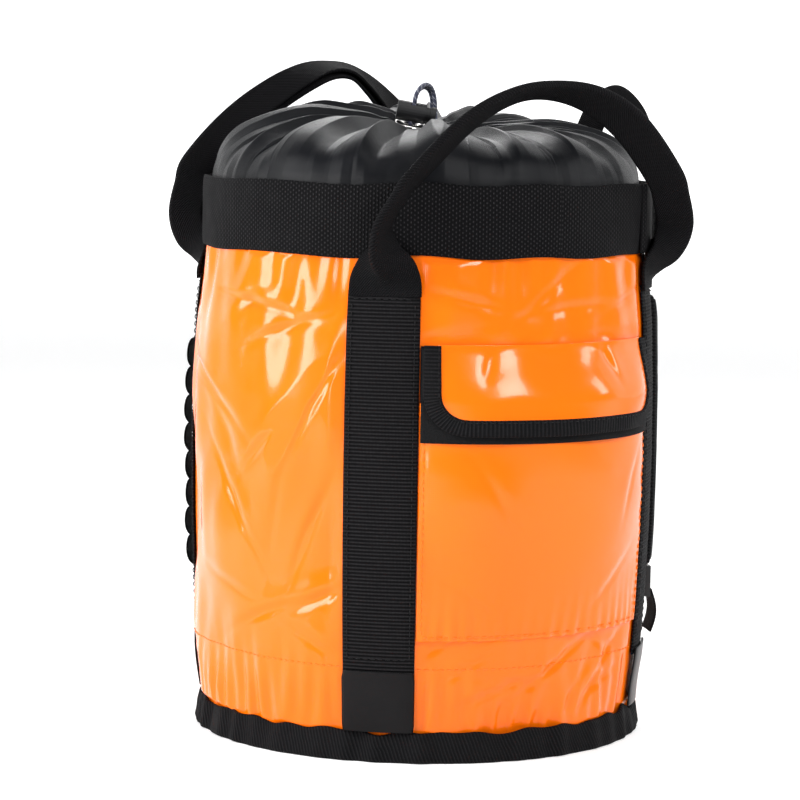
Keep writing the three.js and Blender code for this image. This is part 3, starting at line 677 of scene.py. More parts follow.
def wall_relief(angle, z):
    """Unevenness of the filled bucket: broad dents, creases at the rim and puckers at the base."""
    broad = 1.5 * ripple(angle, z, 3, 12, (2, 11), (110, 420))
    medium = 0.5 * ripple(angle, z, 7, 16, (9, 34), (60, 240))
    base = ease((95 - z) / 80) * 0.85 * ripple(angle, z, 11, 14, (26, 78), (90, 320))
    rim = ease((z - 285) / 50) * 0.55 * ripple(angle, z, 17, 12, (18, 60), (90, 300))
    relief = broad + medium + base + rim
    rng = np.random.default_rng(23)
    for centre in range(-170, 190, 24):
        level = rng.uniform(40, 320)
        relief = relief + crease(angle, z, centre + rng.uniform(-9, 9), level, rng.uniform(-55, 55),
                                 rng.uniform(16, 40), rng.uniform(0.5, 1.3), rng.uniform(2.8, 5.5))
    for centre, level, lean, long, deep in (
            (-82, 300, -8, 42, 2.2), (-70, 286, 18, 34, 1.9), (-62, 236, 62, 40, 2.0), (-100, 240, -30, 40, 1.8),
            (-74, 214, 40, 38, 1.8), (-88, 166, -52, 44, 1.6), (-64, 150, 66, 36, 1.6), (-58, 110, 24, 30, 1.8),
            (0, 60, 34, 34, 2.2), (18, 52, 48, 30, 2.0), (-16, 46, 20, 26, 1.8), (8, 40, 62, 22, 1.6),
            (-78, 92, 22, 34, 1.3), (-60, 74, -28, 24, 1.2), (-92, 110, -14, 30, 1.0), (-72, 180, 74, 40, 0.8),
            (20, 46, 18, 24, 1.2), (-10, 52, -12, 30, 1.1), (2, 300, 6, 44, 1.0), (-24, 306, -14, 26, 1.1),
            (26, 304, 16, 24, 1.0), (-22, 66, 30, 20, 1.0)):
        relief = relief + crease(angle, z, centre, level, lean, long, deep)
    edges = free_of_straps(angle)
    behind_pocket = ease((z - POCKET_LOW + 6) / 12) * ease((FLAP_TOP - z + 6) / 12) * (np.abs(arc(angle, 0)) < 95)
    covered = np.maximum(ease((z - RIM_LOW + 7) / 7), ease((BASE_TOP + 4 - z) / 6))
    proud = np.clip(relief - 0.4, -4.5, 2.9) * edges * (1 - behind_pocket) - 0.35 * (1 - edges)
    behind_harness = ease((102 - np.abs(arc(angle, 90))) / 10)
    proud = np.where(proud > 0, proud * (1 - behind_harness), proud)
    return np.minimum(proud, 2.9 - 3.2 * covered)


def bucket_wall():
    angle = np.linspace(-180, 180, 961)[:-1, None]
    z = np.concatenate([np.linspace(4, 110, 90), np.linspace(111.6, RIM_HIGH - 4, 170)])[None]
    outer = polar(angle, wall_r(z) + wall_relief(angle, z), z)
    weave = np.stack(np.broadcast_arrays(np.radians(angle) * RIM_R, z), -1)
    piece = shell("bucket_wall", outer, 1.4, weave, PVC, "root", ("wall",), wrap=True)


def base_binding():
    angle = np.linspace(0, 360, 721)[:-1, None]
    wave = 0.9 * ripple(angle, 0 * angle, 31, 14, (10, 60), (90, 300))
    foot = wall_r(0.0)
    low_r, top_r = foot + 7.0, wall_r(BASE_TOP) + 2.6
    profile = [(foot - 2, 0.0), (low_r - 1.5, 0.0), (low_r - 0.2, 0.8), (low_r + 0.2, 3.0), (low_r - 0.8, 8.0),
               ((low_r + top_r) / 2, 13.0), (top_r, BASE_TOP - 1.2), (top_r - 0.8, BASE_TOP), (top_r - 2.2, BASE_TOP),
               (wall_r(10.0) + 0.2, 10.0), (wall_r(4.0) + 0.3, 3.6), (foot - 2, 3.6)]
    radius = np.array([r for r, _ in profile])[None]
    level = np.array([z for _, z in profile])[None]
    share = np.array([0, 0.3, 0.7, 1, 1, 1, 0.9, 0.8, 0.5, 0, 0, 0])[None]
    rise = 0.9 * ripple(angle, 0 * angle, 37, 10, (8, 40), (90, 300)) * (level > 12)
    sections = polar(angle, radius + share * wave, level + rise)
    reach = np.cumsum([0] + [math.dist(a, b) for a, b in zip(profile, profile[1:])])[None]
    weave = np.stack(np.broadcast_arrays(reach, np.radians(angle) * low_r + 0.35 * reach), -1)
    loft("base_edge_binding", sections, weave, TRIM, "root", ("base_binding",), ring=True)


def rim_band():
    angle = np.linspace(0, 360, 961)[:-1, None]
    across, through = band_section(WEB, WEB_T, 12)
    middle = (RIM_LOW + RIM_HIGH) / 2
    sag = 0.5 * ripple(angle, 0 * angle, 41, 8, (3, 14), (90, 300))
    lean = 0.45 * ripple(angle, 0 * angle, 43, 8, (3, 16), (90, 300))
    sections = polar(angle, RIM_R - WEB_T / 2 + through[None] + lean * across[None] / WEB * 2, middle + across[None] + sag)
    weave = np.stack(np.broadcast_arrays(np.radians(angle) * RIM_R, across[None]), -1)
    loft("rim_webbing_band", sections, weave, BASKET, "root", ("rim_band",), ring=True)
    angle = np.linspace(36, 61, 90)[:, None]
    lift = 0.3 + 1.6 * ease((angle - 36) / 2.5) - 0.9 * ease((angle - 52) / 9)
    rise = 3.0 * ease((angle - 44) / 17) * (across[None] < 0)
    sections = polar(angle, RIM_R + WEB_T / 2 + lift - 1.2 + through[None], middle + across[None] * 0.99 + sag[0] + rise)
    weave = np.stack(np.broadcast_arrays(np.radians(angle) * RIM_R + 5, across[None]), -1)
    loft("rim_webbing_overlap", sections, weave, BASKET, "root")


def stitches(name, route, outward, material, body="root", slot="pvc", pitch=5.0, long=3.2, radius=0.38):
    """A row of sewn stitches along a route: each is a short raised thread that dips at both ends."""
    length = run(route)
    count = int(length[-1] / pitch)
    sides, steps = 6, 5
    turn = np.arange(sides) * 2 * math.pi / sides
    points, faces, weave = [], [], []
    for k in range(count):
        marks = (k + 0.5) * pitch + np.linspace(-long / 2, long / 2, steps)
        spots = np.stack([np.interp(marks, length, route[:, n]) for n in range(3)], -1)
        up = np.stack([np.interp(marks, length, outward[:, n]) for n in range(3)], -1)
        ahead = spots[-1] - spots[0]
        ahead /= np.linalg.norm(ahead)
        side = np.cross(ahead, up)
        arch = 0.8 * radius * np.sin(np.linspace(0, math.pi, steps)) - 0.25 * radius
        size = radius * np.array([0.55, 0.95, 1, 0.95, 0.55])
        start = len(points) * sides * steps
        rings = (spots[:, None] + up[:, None] * (arch[:, None] + size[:, None] * np.sin(turn))[..., None]
                 + side[:, None] * (size[:, None] * np.cos(turn))[..., None])
        points.append(rings.reshape(-1, 3))
        index, place = grid_faces(steps, sides, False, True, start)
        faces += index.tolist() + [list(range(start, start + sides))[::-1],
                                   list(range(start + sides * (steps - 1), start + sides * steps))]
        weave += [place.reshape(-1, 2) * 0.5, np.zeros((2 * sides, 2))]
    return mesh_piece(name, np.concatenate(points), faces, weave, material, body)


def row_on_wall(name, angles, levels, lift, material, **settings):
    """Stitches on the wall from place to place, lift above it."""
    angle, z = np.asarray(angles, float), np.asarray(levels, float)
    outward = polar(angle, 1.0, 0 * z)
    return stitches(name, polar(angle, wall_r(z) + lift, z), outward, material, **settings)


# ---------------------------------------------------------------- straps

CORNERS = {"front_left": -45, "front_right": 45, "rear_right": 135, "rear_left": -135}


def straps():
    for place, angle in CORNERS.items():
        lift = lambda z: GAP + WEB_T / 2
        wall_band(f"strap_{place}_webbing", angle, FOOT_TOP - 4, STRAP_TOP, WEB, WEB_T, lift, RIB,
                  (f"strap_{place}",), step=0.6, rib=0.22)
        foot_lift = lambda z: GAP + WEB_T + 0.8 + 0.5 * math.sin(z / 9 + angle)
        squeeze = lambda z: 1 - 0.035 * ease((z - FOOT_TOP + 5) / 5) - 0.02 * ease((BASE_TOP + 6 - z) / 6)
        wall_band(f"strap_foot_{place}_patch", angle, BASE_TOP + 0.4, FOOT_TOP + 0.5, WEB + 0.6, 2.0, foot_lift, VINYL,
                  (f"strap_foot_{place}",), step=0.8, edge=squeeze)
        half = math.degrees((WEB / 2 - 3.5) / RIM_R)
        span = np.linspace(angle - half, angle + half, 60)
        for k, z in enumerate((STRAP_TOP - 5, FOOT_TOP + 9)):
            row_on_wall(f"strap_{place}_bar_{k}", span, z + 0 * span, GAP + WEB_T + 0.2, BLACK_THREAD, slot="webbing")
        level = np.linspace(FOOT_TOP + 9, STRAP_TOP - 5, 300)
        for side in (-1, 1):
            name = f"strap_{place}_seam_{'left' if side < 0 else 'right'}"
            row_on_wall(name, angle + side * half + 0 * level, level, GAP + WEB_T + 0.2, BLACK_THREAD, slot="webbing")


# ---------------------------------------------------------------- handles

FRONT_HANDLE = [
    (45, 1.6, -3, 0.0, 0.0, 1.0, 0.0), (45, 3.2, 5, 0.10, 0.0, 1.0, 0.0), (45, 7.5, 14, 0.42, 0.1, 1.0, 0.0),
    (45, 15.5, 26, 0.85, 0.3, 0.9, 0.0), (44.5, 19.5, 42, 1.0, 0.15, 1.0, 0.0), (41.5, 17.5, 60, 1.0, 0.15, 1.0, 0.0),
    (38, 14, 76, 1.0, 0.25, 0.95, 0.05), (27, 0, 108, 1.0, 0.3, 0.9, 0.25), (14, -11, 127, 1.0, 0.2, 0.9, 0.3),
    (0, -17, 133, 1.0, 0.0, 0.9, 0.3),
]
REAR_HANDLE = [
    (45, 1.6, -3, 0.0, 0.0, 1.0, 0.0), (45, 3.2, 5, 0.10, 0.0, 1.0, 0.0), (45, 7.0, 14, 0.42, 0.1, 1.0, 0.0),
    (45, 13.0, 26, 0.85, 0.3, 0.9, 0.0), (44.5, 16, 42, 1.0, 0.3, 0.9, 0.0), (41.5, 15, 60, 1.0, 0.45, 0.8, 0.0),
    (38, 13, 76, 1.0, 0.6, 0.7, 0.1), (28, -8, 109, 1.0, 0.5, 0.8, 0.35), (14, -31, 136, 1.0, 0.3, 0.85, 0.35),
    (0, -40, 145, 1.0, 0.0, 0.9, 0.3),
]
HAUL_LOOP = [
    (67, 2.2, -6, 1, 0, 0), (67, 6, 6, 1, 0, 0), (67, 10, 23, 1, 0, 0), (68, 12, 63, 1, 0.1, 0),
    (73, 13, 91, 1, 0.1, -0.3), (81, 14, 113, 0.7, 0, -0.8), (90, 14, 125, 0, 0, -1),
    (97, 14, 116, -0.7, 0, -0.8), (101, 13, 93, -1, 0.1, -0.3), (106, 11, 63, -1, 0.1, 0),
    (111, 9, 23, -1, 0, 0), (113, 5, 6, -1, 0, 0), (113, 2.2, -6, -1, 0, 0),
]


def stops_to_space(stops, side):
    """Places and facing directions of stops given as (angle, beyond the rim, above the straps, ..., facing)."""
    places, facing = [], []
    for angle, beyond, rise, *rest in stops:
        turn = math.radians(angle + side)
        along, out, up = rest[-3:]
        rim = np.array([math.cos(turn), math.sin(turn), 0])
        outward = np.array([math.sin(turn), -math.cos(turn), 0])
        places.append(outward * (RIM_R + beyond) + [0, 0, STRAP_TOP + rise])
        facing.append(rim * along + outward * out + np.array([0, 0, up]))
    return np.array(places), np.array(facing)


def fold_section(fold, half, thick, count=11):
    """Webbing folded down its middle: (side, spine) places of its outer and inner face. fold is 0 to 1."""
    steep = math.radians(87) * fold
    s = np.concatenate([np.linspace(-half, -2.0, count), np.linspace(-1.6, 1.6, 9), np.linspace(2.0, half, count)])
    lean = -steep * np.clip(s / 2.0, -1, 1)
    lean = lean - fold * 0.01 * np.sign(s) * ease((np.abs(s) - 4) / 10)
    step = np.gradient(s)
    side = np.cumsum(np.cos(lean) * step)
    spine = np.cumsum(np.sin(lean) * step)
    middle = len(s) // 2
    side, spine = side - side[middle], spine - spine[middle]
    normal = np.stack([-np.sin(lean), np.cos(lean)], -1)
    centre = np.stack([side, spine], -1)
    outer, inner = centre + normal * thick / 2, centre - normal * thick / 2
    reach = np.concatenate([s, s[::-1]])
    return np.concatenate([outer, inner[::-1]]), reach


def handle(name, half_stops, side, nodes, seed):
    far = [(-a, b, c, f, -along, out, up) for a, b, c, f, along, out, up in half_stops[:-1]][::-1]
    stops = half_stops + far
    places, facing = stops_to_space(stops, side)
    folds = np.array([[stop[3]] for stop in stops])
    count = 420
    centre, spine, fold = catmull(places, count), catmull(facing, count), catmull(folds, count)[:, 0].clip(0, 1)
    ahead, out, _ = frames(centre, spine)
    sideways = np.cross(out, ahead)
    length = run(centre)
    rng = np.random.default_rng(seed)
    wobble = sum(rng.uniform(0.2, 0.6) * np.sin(length / rng.uniform(14, 60) + rng.uniform(0, 6)) for _ in range(4))
    ridge = centre + out * (WEB / 4 * fold)[:, None] + sideways * (0.6 * wobble * fold)[:, None]
    sections, weave = [], []
    for k in range(count):
        flat, reach = fold_section(fold[k], WEB / 2, WEB_T)
        sections.append(ridge[k] + sideways[k] * flat[:, :1] + out[k] * flat[:, 1:])
        weave.append(np.stack([reach, np.full(len(reach), length[k])], -1))
    piece = loft(name, np.array(sections), np.array(weave), TWILL, None, nodes)
    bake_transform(piece)


def haul_loop():
    places, facing = stops_to_space(HAUL_LOOP, 0)
    centre, wide = catmull(places, 320), catmull(facing, 320)
    _, wide, deep = frames(centre, wide)
    across, through = band_section(WEB / 2, 2.8)
    sections = centre[:, None] + wide[:, None] * across[None, :, None] + deep[:, None] * through[None, :, None]
    weave = np.stack(np.broadcast_arrays(across[None], run(centre)[:, None]), -1)
    piece = loft("haul_loop_webbing", sections, weave, TWILL, None, ("haul_loop",))
    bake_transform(piece)


# ---------------------------------------------------------------- pocket and flap

def on_front(across, z, lift):
    """Place on the pocket's side, across millimetres from its middle."""
    return polar(np.degrees(across / RIM_R), wall_r(z) + lift, z)


def pocket_lift(share, z):
    rise = ease((z - POCKET_LOW) / ((POCKET_TOP - POCKET_LOW) * 0.65))
    return GAP + POCKET_OUT * rise * (1 - share**2)


def flap_lift(share, z):
    drop = ease((FLAP_TOP - z) / (FLAP_TOP - POCKET_TOP))
    return 0.6 + (pocket_lift(share, POCKET_TOP) + 4.2 - 0.6) * drop


def pocket_relief(across, z):
    """Puckers along the pocket's seams and soft dents in its middle."""
    side = np.exp(-(POCKET_W / 2 - np.abs(across)) / 12)
    low = np.exp(-(z - POCKET_LOW) / 14)
    angle = np.degrees(across / RIM_R)
    soft = 0.9 * ripple(angle, z, 53, 10, (3, 14), (70, 240)) * (1 - side) * (1 - low)
    tucks = 0.5 * low * ripple(angle, z, 59, 10, (40, 110), (90, 300)) + 0.35 * side * np.sin(z / 4.3)
    folds = (crease(angle, z, -16, POCKET_TOP - 70, -62, 26, 0.9) + crease(angle, z, 18, POCKET_LOW + 34, 40, 24, 0.9)
             + crease(angle, z, 24, POCKET_TOP - 60, 66, 22, 0.8) + crease(angle, z, -22, POCKET_LOW + 30, -34, 22, 0.9))
    return np.clip(soft + tucks + folds, -1.6, 1.6) * ease((POCKET_W / 2 - np.abs(across)) / 5)


def sheet_on_front(name, width, low, high, lift, thick, material, nodes, body="root", count=(160, 120), under=None):
    across = np.linspace(-width / 2, width / 2, count[0])[:, None]
    share = np.linspace(0, 1, count[1])[None]
    bottom = low(across) if callable(low) else low
    z = bottom + (high - bottom) * share
    outer = on_front(across, z, lift(across, z) + thick)
    weave = np.stack(np.broadcast_arrays(across, z), -1)
    return shell(name, outer, thick, weave, material, body, nodes)


def pocket():
    half = POCKET_W / 2
    lift = lambda a, z: pocket_lift(a / half, z) + pocket_relief(a, z) + 0.9 * ease((z - POCKET_TOP + 9) / 1.2)
    front = sheet_on_front("pocket_front_panel", POCKET_W, POCKET_LOW, POCKET_TOP, lift, 1.2, PVC,
                           ("pocket_front",))
    sheet_on_front("pocket_opening_cloth", POCKET_W, POCKET_TOP - 4, FLAP_TOP - 1, lambda a, z: GAP + 0.4 + 0 * a * z, 0.3,
                   NYLON, ("pocket_back",), count=(80, 12))
    low = FLAP_LOW - 5
    sheet_on_front("pocket_loop_strip", POCKET_W * 0.995, low, POCKET_TOP + 0.5,
                   lambda a, z: pocket_lift(a / half, z) + 2.1, 0.9, LOOP_TAPE, ("pocket_loop_tape",),
                   count=(90, 12))
    span = np.linspace(-half + 3, half - 3, 220)
    angle = np.degrees(span / RIM_R)
    row_on_wall("pocket_bottom_stitches", angle, POCKET_LOW + 3.0 + 0 * angle, GAP + 1.5, ORANGE_THREAD)
    for side, name in ((-1, "left"), (1, "right")):
        z = np.linspace(POCKET_LOW + 4, POCKET_TOP - 4, 260)
        edge = side * (half - 3.0)
        spot = np.full_like(z, edge)
        route = on_front(spot, z, pocket_lift(spot / half, z) + pocket_relief(spot, z) + 1.25)
        stitches(f"pocket_{name}_stitches", route, on_front(spot, 0 * z, 1.0 - wall_r(0 * z)), ORANGE_THREAD)


FLAP_BIND = 11.0
FLAP_ROUND = 27.0


def flap_wave(across, z):
    """The flap's edge curls a little and its seam puckers."""
    curl = 1.6 * ease((FLAP_LOW + 26 - z) / 26) * np.cos(across / 31 + 0.6)
    pucker = (crease(np.degrees(across / RIM_R), z, 14, FLAP_TOP - 12, -70, 12, 1.6)
              + crease(np.degrees(across / RIM_R), z, -20, FLAP_TOP - 14, 74, 10, 0.9))
    soft = 0.5 * ripple(np.degrees(across / RIM_R), z, 61, 10, (6, 26), (50, 160))
    return (curl + pucker + soft) * ease((FLAP_TOP - z) / 8)


def flap():
    half = FLAP_W / 2
    inner = half - FLAP_BIND + 2.0
    corner = FLAP_ROUND - FLAP_BIND + 2.0

    def low(across):
        into = np.maximum(0, np.abs(across) - (inner - corner))
        return FLAP_LOW + FLAP_BIND - 2.0 + corner - np.sqrt(np.maximum(0, corner**2 - into**2))

    lift = lambda a, z: flap_lift(2 * a / POCKET_W, z) + flap_wave(a, z) + 0.2
    panel = sheet_on_front("flap_panel_cloth", 2 * inner, low, FLAP_TOP, lift, 1.3, PVC, ("flap_panel",),
                           body=None)
    path = [(-half, FLAP_TOP), (-half, FLAP_LOW + FLAP_ROUND)]
    for turn in np.linspace(180, 270, 10)[1:]:
        path.append((-half + FLAP_ROUND * (1 + math.cos(math.radians(turn))),
                     FLAP_LOW + FLAP_ROUND * (1 + math.sin(math.radians(turn)))))
    path += [(-x, z) for x, z in path[::-1]]
    path = np.array(path)
    length = run(path)
    marks = np.linspace(0, length[-1], 520)
    line = np.stack([np.interp(marks, length, path[:, k]) for k in range(2)], -1)
    line = np.stack([np.convolve(np.pad(line[:, k], 4, mode="edge"), np.ones(9) / 9, "valid") for k in range(2)], -1)
    ahead = np.gradient(line, axis=0)
    ahead /= np.linalg.norm(ahead, axis=1, keepdims=True)
    inward = np.stack([-ahead[:, 1], ahead[:, 0]], -1)
    across, through = band_section(FLAP_BIND, 2.8, 10)
    place = line[:, None] + inward[:, None] * (across[None, :, None] + FLAP_BIND / 2)
    rise = flap_lift(2 * place[..., 0] / POCKET_W, place[..., 1]) + flap_wave(place[..., 0], place[..., 1])
    sections = on_front(place[..., 0], place[..., 1], rise + 1.4 + through[None])
    weave = np.stack(np.broadcast_arrays(across[None], marks[:, None]), -1)
    edge = loft("flap_edge_binding", sections, weave, TRIM, None, ("flap_binding",))
    hook = sheet_on_front("flap_hook_strip", POCKET_W * 0.78, POCKET_TOP - 20, POCKET_TOP - 2,
                          lambda a, z: pocket_lift(2 * a / POCKET_W, z) + 3.2, 0.7, HOOK_TAPE,
                          ("flap_hook_tape",), body="flap", count=(90, 12))
    seam_line = line + inward * (FLAP_BIND - 1.6)
    out_lift = flap_lift(2 * seam_line[:, 0] / POCKET_W, seam_line[:, 1]) + flap_wave(seam_line[:, 0], seam_line[:, 1])
    route = on_front(seam_line[:, 0], seam_line[:, 1], out_lift + 2.85)
    seam = stitches("flap_binding_stitches", route, on_front(seam_line[:, 0], 0 * seam_line[:, 1],
                    1.0 - wall_r(0 * seam_line[:, 1])), BLACK_THREAD, body=None, slot="webbing")
    for piece in (panel, edge, seam):
        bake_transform(piece)


# ---------------------------------------------------------------- gear loops and back panel

def gear_loops():
    """One strip of tape tacked down between eight uneven loops."""
    rng = np.random.default_rng(71)
    pitch = (GEAR_TOP - GEAR_LOW) / 8
    level, lift = [], []
    for k in range(8):
        deep = rng.uniform(4.6, 6.4)
        turn = np.linspace(0, math.pi, 26)[:-1]
        level.append(GEAR_TOP - pitch * (k + 0.5) + pitch * 0.5 * np.cos(turn) * (1 + 0.10 * np.sin(2 * turn)))
        lift.append(deep * np.sin(turn) ** 0.7)
    level = np.concatenate(level + [[GEAR_LOW]])
    lift = np.concatenate(lift + [[0.0]]) + WEB_T + 2 * GAP + 0.9
    route = np.stack([lift, level], -1)
    ahead = np.gradient(route, axis=0)
    ahead /= np.linalg.norm(ahead, axis=1, keepdims=True) + 1e-9
    normal = np.stack([-ahead[:, 1], ahead[:, 0]], -1)
    normal *= np.sign(normal[:, :1] + 1e-9)
    across, through = band_section(20.0, 1.6)
    lean = rng.uniform(-0.8, 0.8, len(level))[:, None] * 0
    place = route[:, None] + normal[:, None] * through[None, :, None]
    sections = on_wall(-135, across[None] + lean, place[..., 0], place[..., 1])
    weave = np.stack(np.broadcast_arrays(across[None], run(route)[:, None]), -1)
    loft("gear_loop_webbing", sections, weave, TWILL, "root", ("gear_webbing",))
    half = math.degrees(8.0 / RIM_R)
    span = np.linspace(-135 - half, -135 + half, 24)
    for k in range(1, 8):
        row_on_wall(f"gear_loop_tack_{k}", span, GEAR_TOP - pitch * k + 0 * span, WEB_T + 2.6, BLACK_THREAD,
                    slot="webbing", pitch=2.2, long=1.8)


def puffed(piece, cap):
    """Lets a closed soft shape swell under slight pressure, by no more than cap millimetres."""
    bpy.context.view_layer.objects.active = piece
    start = np.array([v.co for v in piece.data.vertices])
    cloth = piece.modifiers.new("swell", "CLOTH")
    cloth.settings.use_pressure = True
    cloth.settings.uniform_pressure_force = 4
    cloth.settings.effector_weights.gravity = 0
    cloth.settings.quality = 6
    scene = bpy.context.scene
    for step in range(1, 21):
        scene.frame_set(step)
    shaped = piece.evaluated_get(bpy.context.evaluated_depsgraph_get())
    end = np.array([v.co for v in shaped.data.vertices])
    piece.modifiers.remove(cloth)
    scene.frame_set(1)
    move = end - start
    far = np.linalg.norm(move, axis=1, keepdims=True)
    move *= np.minimum(1, cap * MM / np.maximum(far, 1e-9))
    piece.data.vertices.foreach_set("co", (start + move).astype(np.float32).ravel())
    piece.data.update()


def shoulder_pad(side, angle):
    """Padded strap lying on the back panel, with a taped edge."""
    low, high, wide, thick = PAD_LOW + 1.5, PAD_TOP - 1.5, 24.0, 3.4
    z = np.linspace(low, high, 60)
    across, through = band_section(2 * wide - 4, thick, 16)
    lift = GAP + 1.8 + thick / 2
    sections = on_wall(angle, across[None], lift + 0.6 + through[None], z[:, None])
    weave = np.stack(np.broadcast_arrays(across[None], z[:, None]), -1)
    pad = loft(f"shoulder_pad_{side}_foam", sections, weave, NYLON, None, (f"shoulder_pad_{side}",))
    remesh = pad.modifiers.new("even", "REMESH")
    remesh.mode = "VOXEL"
    remesh.voxel_size = 0.0025
    graph = bpy.context.evaluated_depsgraph_get()
    mesh = bpy.data.meshes.new_from_object(pad.evaluated_get(graph))
    pad.modifiers.clear()
    pad.data = mesh
    mesh.name = pad.name
    puffed(pad, 2.2)
    mesh.shade_smooth()
    finish = pad.modifiers.new("smooth", "SUBSURF")
    finish.levels = finish.render_levels = 1
    mesh = bpy.data.meshes.new_from_object(pad.evaluated_get(bpy.context.evaluated_depsgraph_get()))
    pad.modifiers.clear()
    pad.data = mesh
    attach(pad, "root")
    turn = np.linspace(0, 2 * math.pi, 400)
    square = 0.16
    outline_x = wide * np.sign(np.cos(turn)) * np.abs(np.cos(turn)) ** square
    outline_z = (low + high) / 2 + (high - low) / 2 * np.sign(np.sin(turn)) * np.abs(np.sin(turn)) ** square
    route = on_wall(angle, outline_x, lift + 0.2, outline_z)[:-1]
    tube(f"shoulder_pad_{side}_edge", route, 2.0, TRIM, "root", ring=True)


def strip_on_wall(name, angle, width, low, high, thick, lift, material, nodes, body="root", step=0.8):
    return wall_band(name, angle, low, high, width, thick, lift, material, nodes, body=body, step=step)


def back_panel():
    low, high = height("harness_yoke")
    width = 2 * max(abs(arc(math.degrees(math.atan2(x, -y)), 90)) for x, y in
                    [(v.co.x, v.co.y) for v in bpy.data.objects["harness_yoke"].data.vertices])
    strip_on_wall("harness_yoke_webbing", 90, width, low, high, 1.4, lambda z: GAP + 0.7, BASKET,
                  ("harness_yoke",), step=2.0)
    for side, turn in (("left", -1), ("right", 1)):
        corners = np.array([v.co for v in bpy.data.objects[f"shoulder_pad_{side}"].data.vertices])
        angle = float(np.degrees(np.arctan2(corners[:, 0].mean(), -corners[:, 1].mean())))
        shoulder_pad(side, angle)
        low, high = height(f"adjuster_webbing_{side}")
        strip_on_wall(f"adjuster_webbing_{side}_band", angle, 25, low, high + 6, 1.6, lambda z: GAP + 0.8, TWILL,
                      (f"adjuster_webbing_{side}",))
        low, high = height(f"strap_anchor_{side}")
        strip_on_wall(f"strap_anchor_{side}_patch", angle, 40, low, high, 2.3, lambda z: GAP + 1.2, VINYL,
                      (f"strap_anchor_{side}",))
        half = math.degrees(16 / RIM_R)
        span = np.linspace(angle - half, angle + half, 40)
        for k, z in enumerate((low + 4, high - 4)):
            row_on_wall(f"strap_anchor_{side}_bar_{k}", span, z + 0 * span, GAP + 2.4, BLACK_THREAD, slot="vinyl")
        low, high = height(f"adjuster_tail_{side}")
        front = wall_r(PAD_LOW - 2) + 2.2 + 0.8 + 3.6 + 1.6 + 0.8
        bow = lambda z: front - wall_r(z) + 3.5 * math.sin(math.pi * min(1, max(0, (z - low) / (high - low))))
        strip_on_wall(f"adjuster_tail_{side}_band", angle, 25, low, high, 1.6, bow, TWILL,
                      (f"adjuster_tail_{side}",), body=f"adjuster_{side}")


# ---------------------------------------------------------------- collar, hem and cord lock

TILT = np.array(Matrix.Rotation(math.radians(HEM_TILT), 3, "X"))
COLLAR_R = box_mm("collar")[1][0]
HEM_R, HEM_TUBE = 17.0, 5.5
HEM_LEAN = (HEM_R + HEM_TUBE) * math.tan(math.radians(HEM_TILT))


def pleats(angle, seed, low, high, drift=0.0):
    """Uneven gathers round the collar, from about -1 to 1, with narrow valleys."""
    rng = np.random.default_rng(seed)
    total = 0
    for _ in range(9):
        turns = rng.integers(low, high)
        total = total + np.cos(turns * np.radians(angle) + rng.uniform(0, 6.28) + drift * rng.uniform(-1, 1))
    total = total / 2.4
    return np.tanh(1.3 * total)


def sharp_folds(angle, seed, count, reach, gather):
    """Folds with sharp crests and flat sides that run in to the hem, uneven in width and height."""
    rng = np.random.default_rng(seed)
    marks = np.sort((np.arange(count) + rng.uniform(-0.36, 0.36, count)) * 360 / count)
    tops = rng.uniform(0.35, 1.0, count)
    curl = rng.uniform(-9, 9, count) * 0.6
    swing = np.interp(angle, np.append(marks, marks[0] + 360), np.append(curl, curl[0]), period=360)
    place = (angle + swing * (reach / 170 - 0.5)) % 360
    edge = np.concatenate([[marks[-1] - 360], marks, [marks[0] + 360]])
    high = np.concatenate([[tops[-1]], tops, [tops[0]]])
    slot = np.searchsorted(edge, place, side="right").clip(1, len(edge) - 1)
    share = (place - edge[slot - 1]) / (edge[slot] - edge[slot - 1])
    skew = 0.3 + 0.4 * ((slot * 0.618) % 1)
    wave = np.where(share < skew, share / skew, (1 - share) / (1 - skew))
    return (1.25 * np.clip(wave, 0, 1) ** 1.15 - 0.55) * high[slot]


